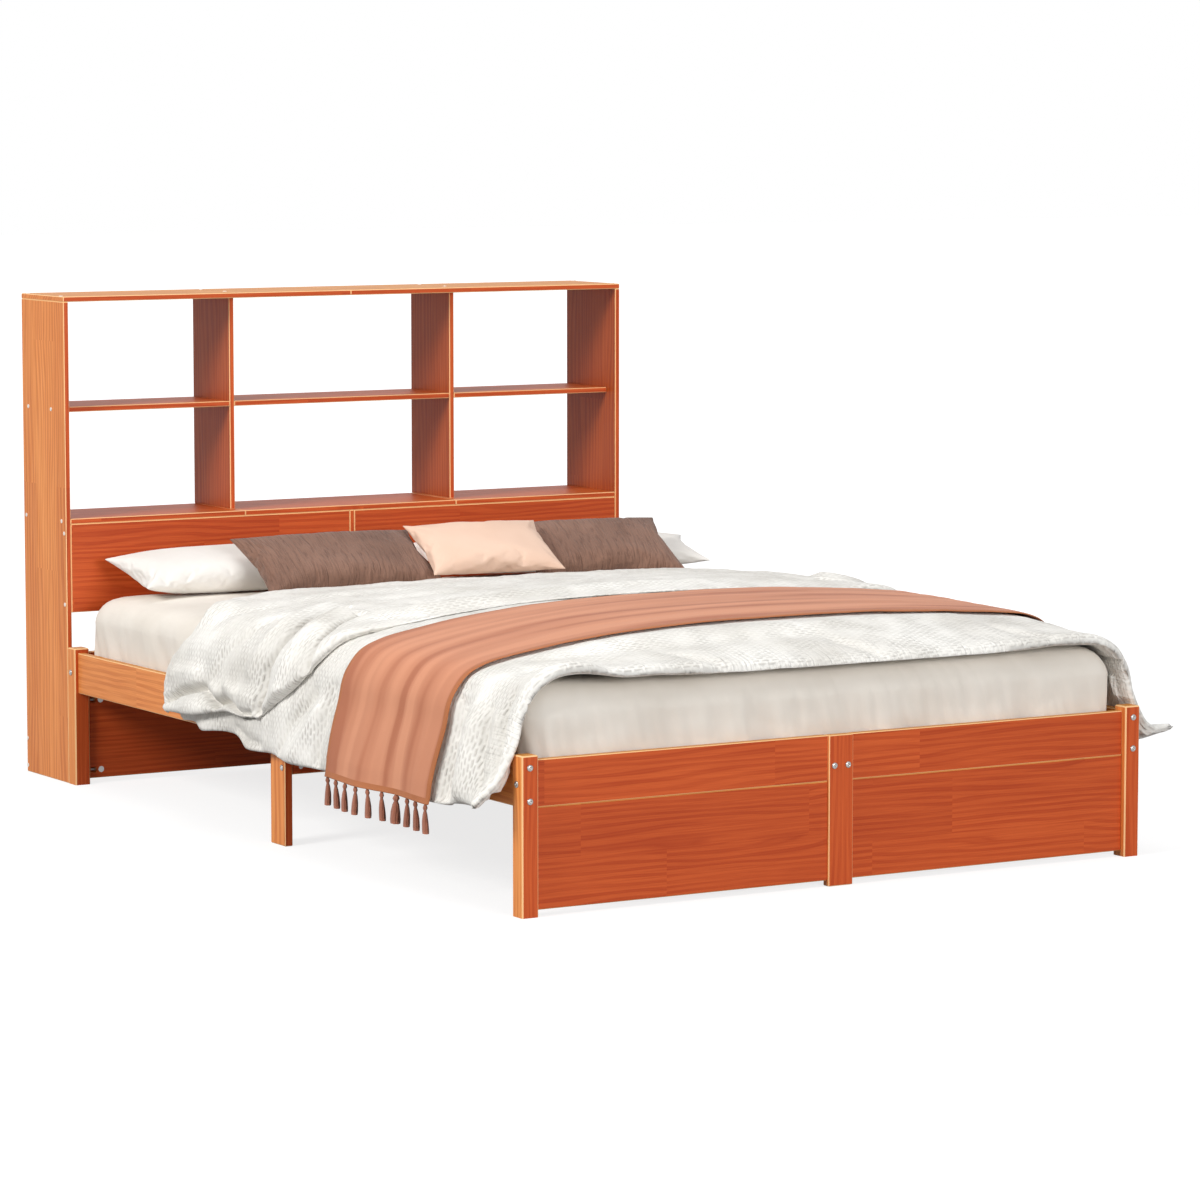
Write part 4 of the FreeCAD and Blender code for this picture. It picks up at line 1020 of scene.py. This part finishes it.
def make_pillows():
    white = cloth("pillow_cotton", srgb(240, 237, 232), srgb(228, 222, 214), "plain", 0.12)
    brown = cloth("cushion_brown", srgb(142, 108, 92), srgb(90, 62, 50), "crinkle", 0.15)
    peach = cloth("cushion_peach", srgb(235, 203, 182), srgb(222, 184, 160), "plain", 0.12)
    for row in PILLOWS:
        if "pillow" in row[0]:
            make_pillow(*row, white, "pillow_cotton", 0.5)
        elif row[0] == "cushion_front":
            make_pillow(*row, peach, "cushion_peach_cloth", 0.7)
        else:
            make_pillow(*row, brown, "cushion_brown_cloth", 0.7)


# ---- camera and light
def make_camera():
    """The photograph's camera; its lens was found in pixels, 1200 to the width."""
    azimuth, pitch = math.radians(30.893), math.radians(6.115)
    level = math.cos(pitch)
    view = Vector((math.sin(azimuth) * level, math.cos(azimuth) * level, -math.sin(pitch)))
    camera = bpy.data.objects.new("camera", bpy.data.cameras.new("camera"))
    camera.location = (-5.0875, -8.7135, 1.5423)
    camera.rotation_euler = view.to_track_quat("-Z", "Y").to_euler()
    camera.data.sensor_width = 36
    camera.data.lens = 4685.35 / 1200 * 36
    camera.data.clip_end = 100
    scene.collection.objects.link(camera)
    scene.camera = camera


def area_light(name, place, target, across, power, colour=(1, 1, 1)):
    light = bpy.data.lights.new(name, "AREA")
    light.shape = "RECTANGLE"
    light.size, light.size_y = across
    light.energy = power
    light.color = colour
    item = bpy.data.objects.new(name, light)
    item.location = place
    item.rotation_euler = (Vector(target) - Vector(place)).to_track_quat("-Z", "Y").to_euler()
    scene.collection.objects.link(item)


def make_floor():
    """Floor that takes shadows, and shines white far off where the camera sees it."""
    n = Nodes("floor")
    seen = n.add("ShaderNodeLightPath")
    either = n.math("MAXIMUM", seen.outputs["Is Camera Ray"], seen.outputs["Is Glossy Ray"])
    either = n.math("MAXIMUM", either, seen.outputs["Is Transmission Ray"])
    reach = n.add("ShaderNodeVectorMath", operation="LENGTH")
    n.link(n.add("ShaderNodeTexCoord").outputs["Object"], reach.inputs[0])
    far = n.ramp(n.math("MULTIPLY", reach.outputs["Value"], 0.1), ((0.2, 0.0), (0.55, 1.0)))
    white = n.add("ShaderNodeEmission")
    n.link(n.math("MULTIPLY_ADD", far, 0.21, 0.79), white.inputs["Strength"])
    cover = n.add("ShaderNodeAddShader")
    n.link(n.bsdf.outputs[0], cover.inputs[0])
    n.link(white.outputs[0], cover.inputs[1])
    choose = n.add("ShaderNodeMixShader")
    n.link(either, choose.inputs[0])
    n.link(n.bsdf.outputs[0], choose.inputs[1])
    n.link(cover.outputs[0], choose.inputs[2])
    n.link(choose.outputs[0], n.out.inputs[0])
    n.bsdf.inputs["Base Color"].default_value = (0.26, 0.26, 0.26, 1)
    n.bsdf.inputs["Roughness"].default_value = 0.9
    mesh = bpy.data.meshes.new("floor")
    mesh.from_pydata([(-40, -40, 0), (40, -40, 0), (40, 40, 0), (-40, 40, 0)], [], [(0, 1, 2, 3)])
    floor = bpy.data.objects.new("floor", mesh)
    mesh.materials.append(n.mat)
    scene.collection.objects.link(floor)


def make_world():
    """Soft light from all round; the camera and reflections see plain white."""
    world = bpy.data.worlds.new("studio")
    scene.world = world
    world.use_nodes = True
    tree = world.node_tree
    tree.nodes.clear()
    kinds = ("OutputWorld", "LightPath", "Background", "Background", "MixShader", "Math")
    out, path, soft, plain, pick, share = (tree.nodes.new("ShaderNode" + kind) for kind in kinds)
    soft.inputs[0].default_value = (0.97, 0.98, 1, 1)
    soft.inputs[1].default_value = 0.31
    plain.inputs[0].default_value = (1, 1, 1, 1)
    plain.inputs[1].default_value = 1.0
    share.operation = "MAXIMUM"
    link = tree.links.new
    link(path.outputs["Is Camera Ray"], share.inputs[0])
    link(path.outputs["Is Glossy Ray"], share.inputs[1])
    for socket, source in zip(pick.inputs, (share, soft, plain)):
        link(source.outputs[0], socket)
    link(pick.outputs[0], out.inputs[0])


def make_lights():
    area_light("key", (-7.0, -1.5, 4.6), (0, 0, 0.4), (2.4, 2.4), 458, (1, 0.99, 0.97))
    area_light("top", (0.5, 0.5, 6.0), (0, 0, 0.3), (5, 5), 120)
    area_light("front", (0.5, -12.5, 3.2), (0, 0, 0.3), (5, 3.5), 740)


scene.view_settings.view_transform = "Standard"
make_camera()
make_floor()
make_world()
make_lights()
dress_wood()
dress_hardware()
make_mattress()
make_duvet()
make_throw()
make_tassels()
make_bolts()
make_pillows()
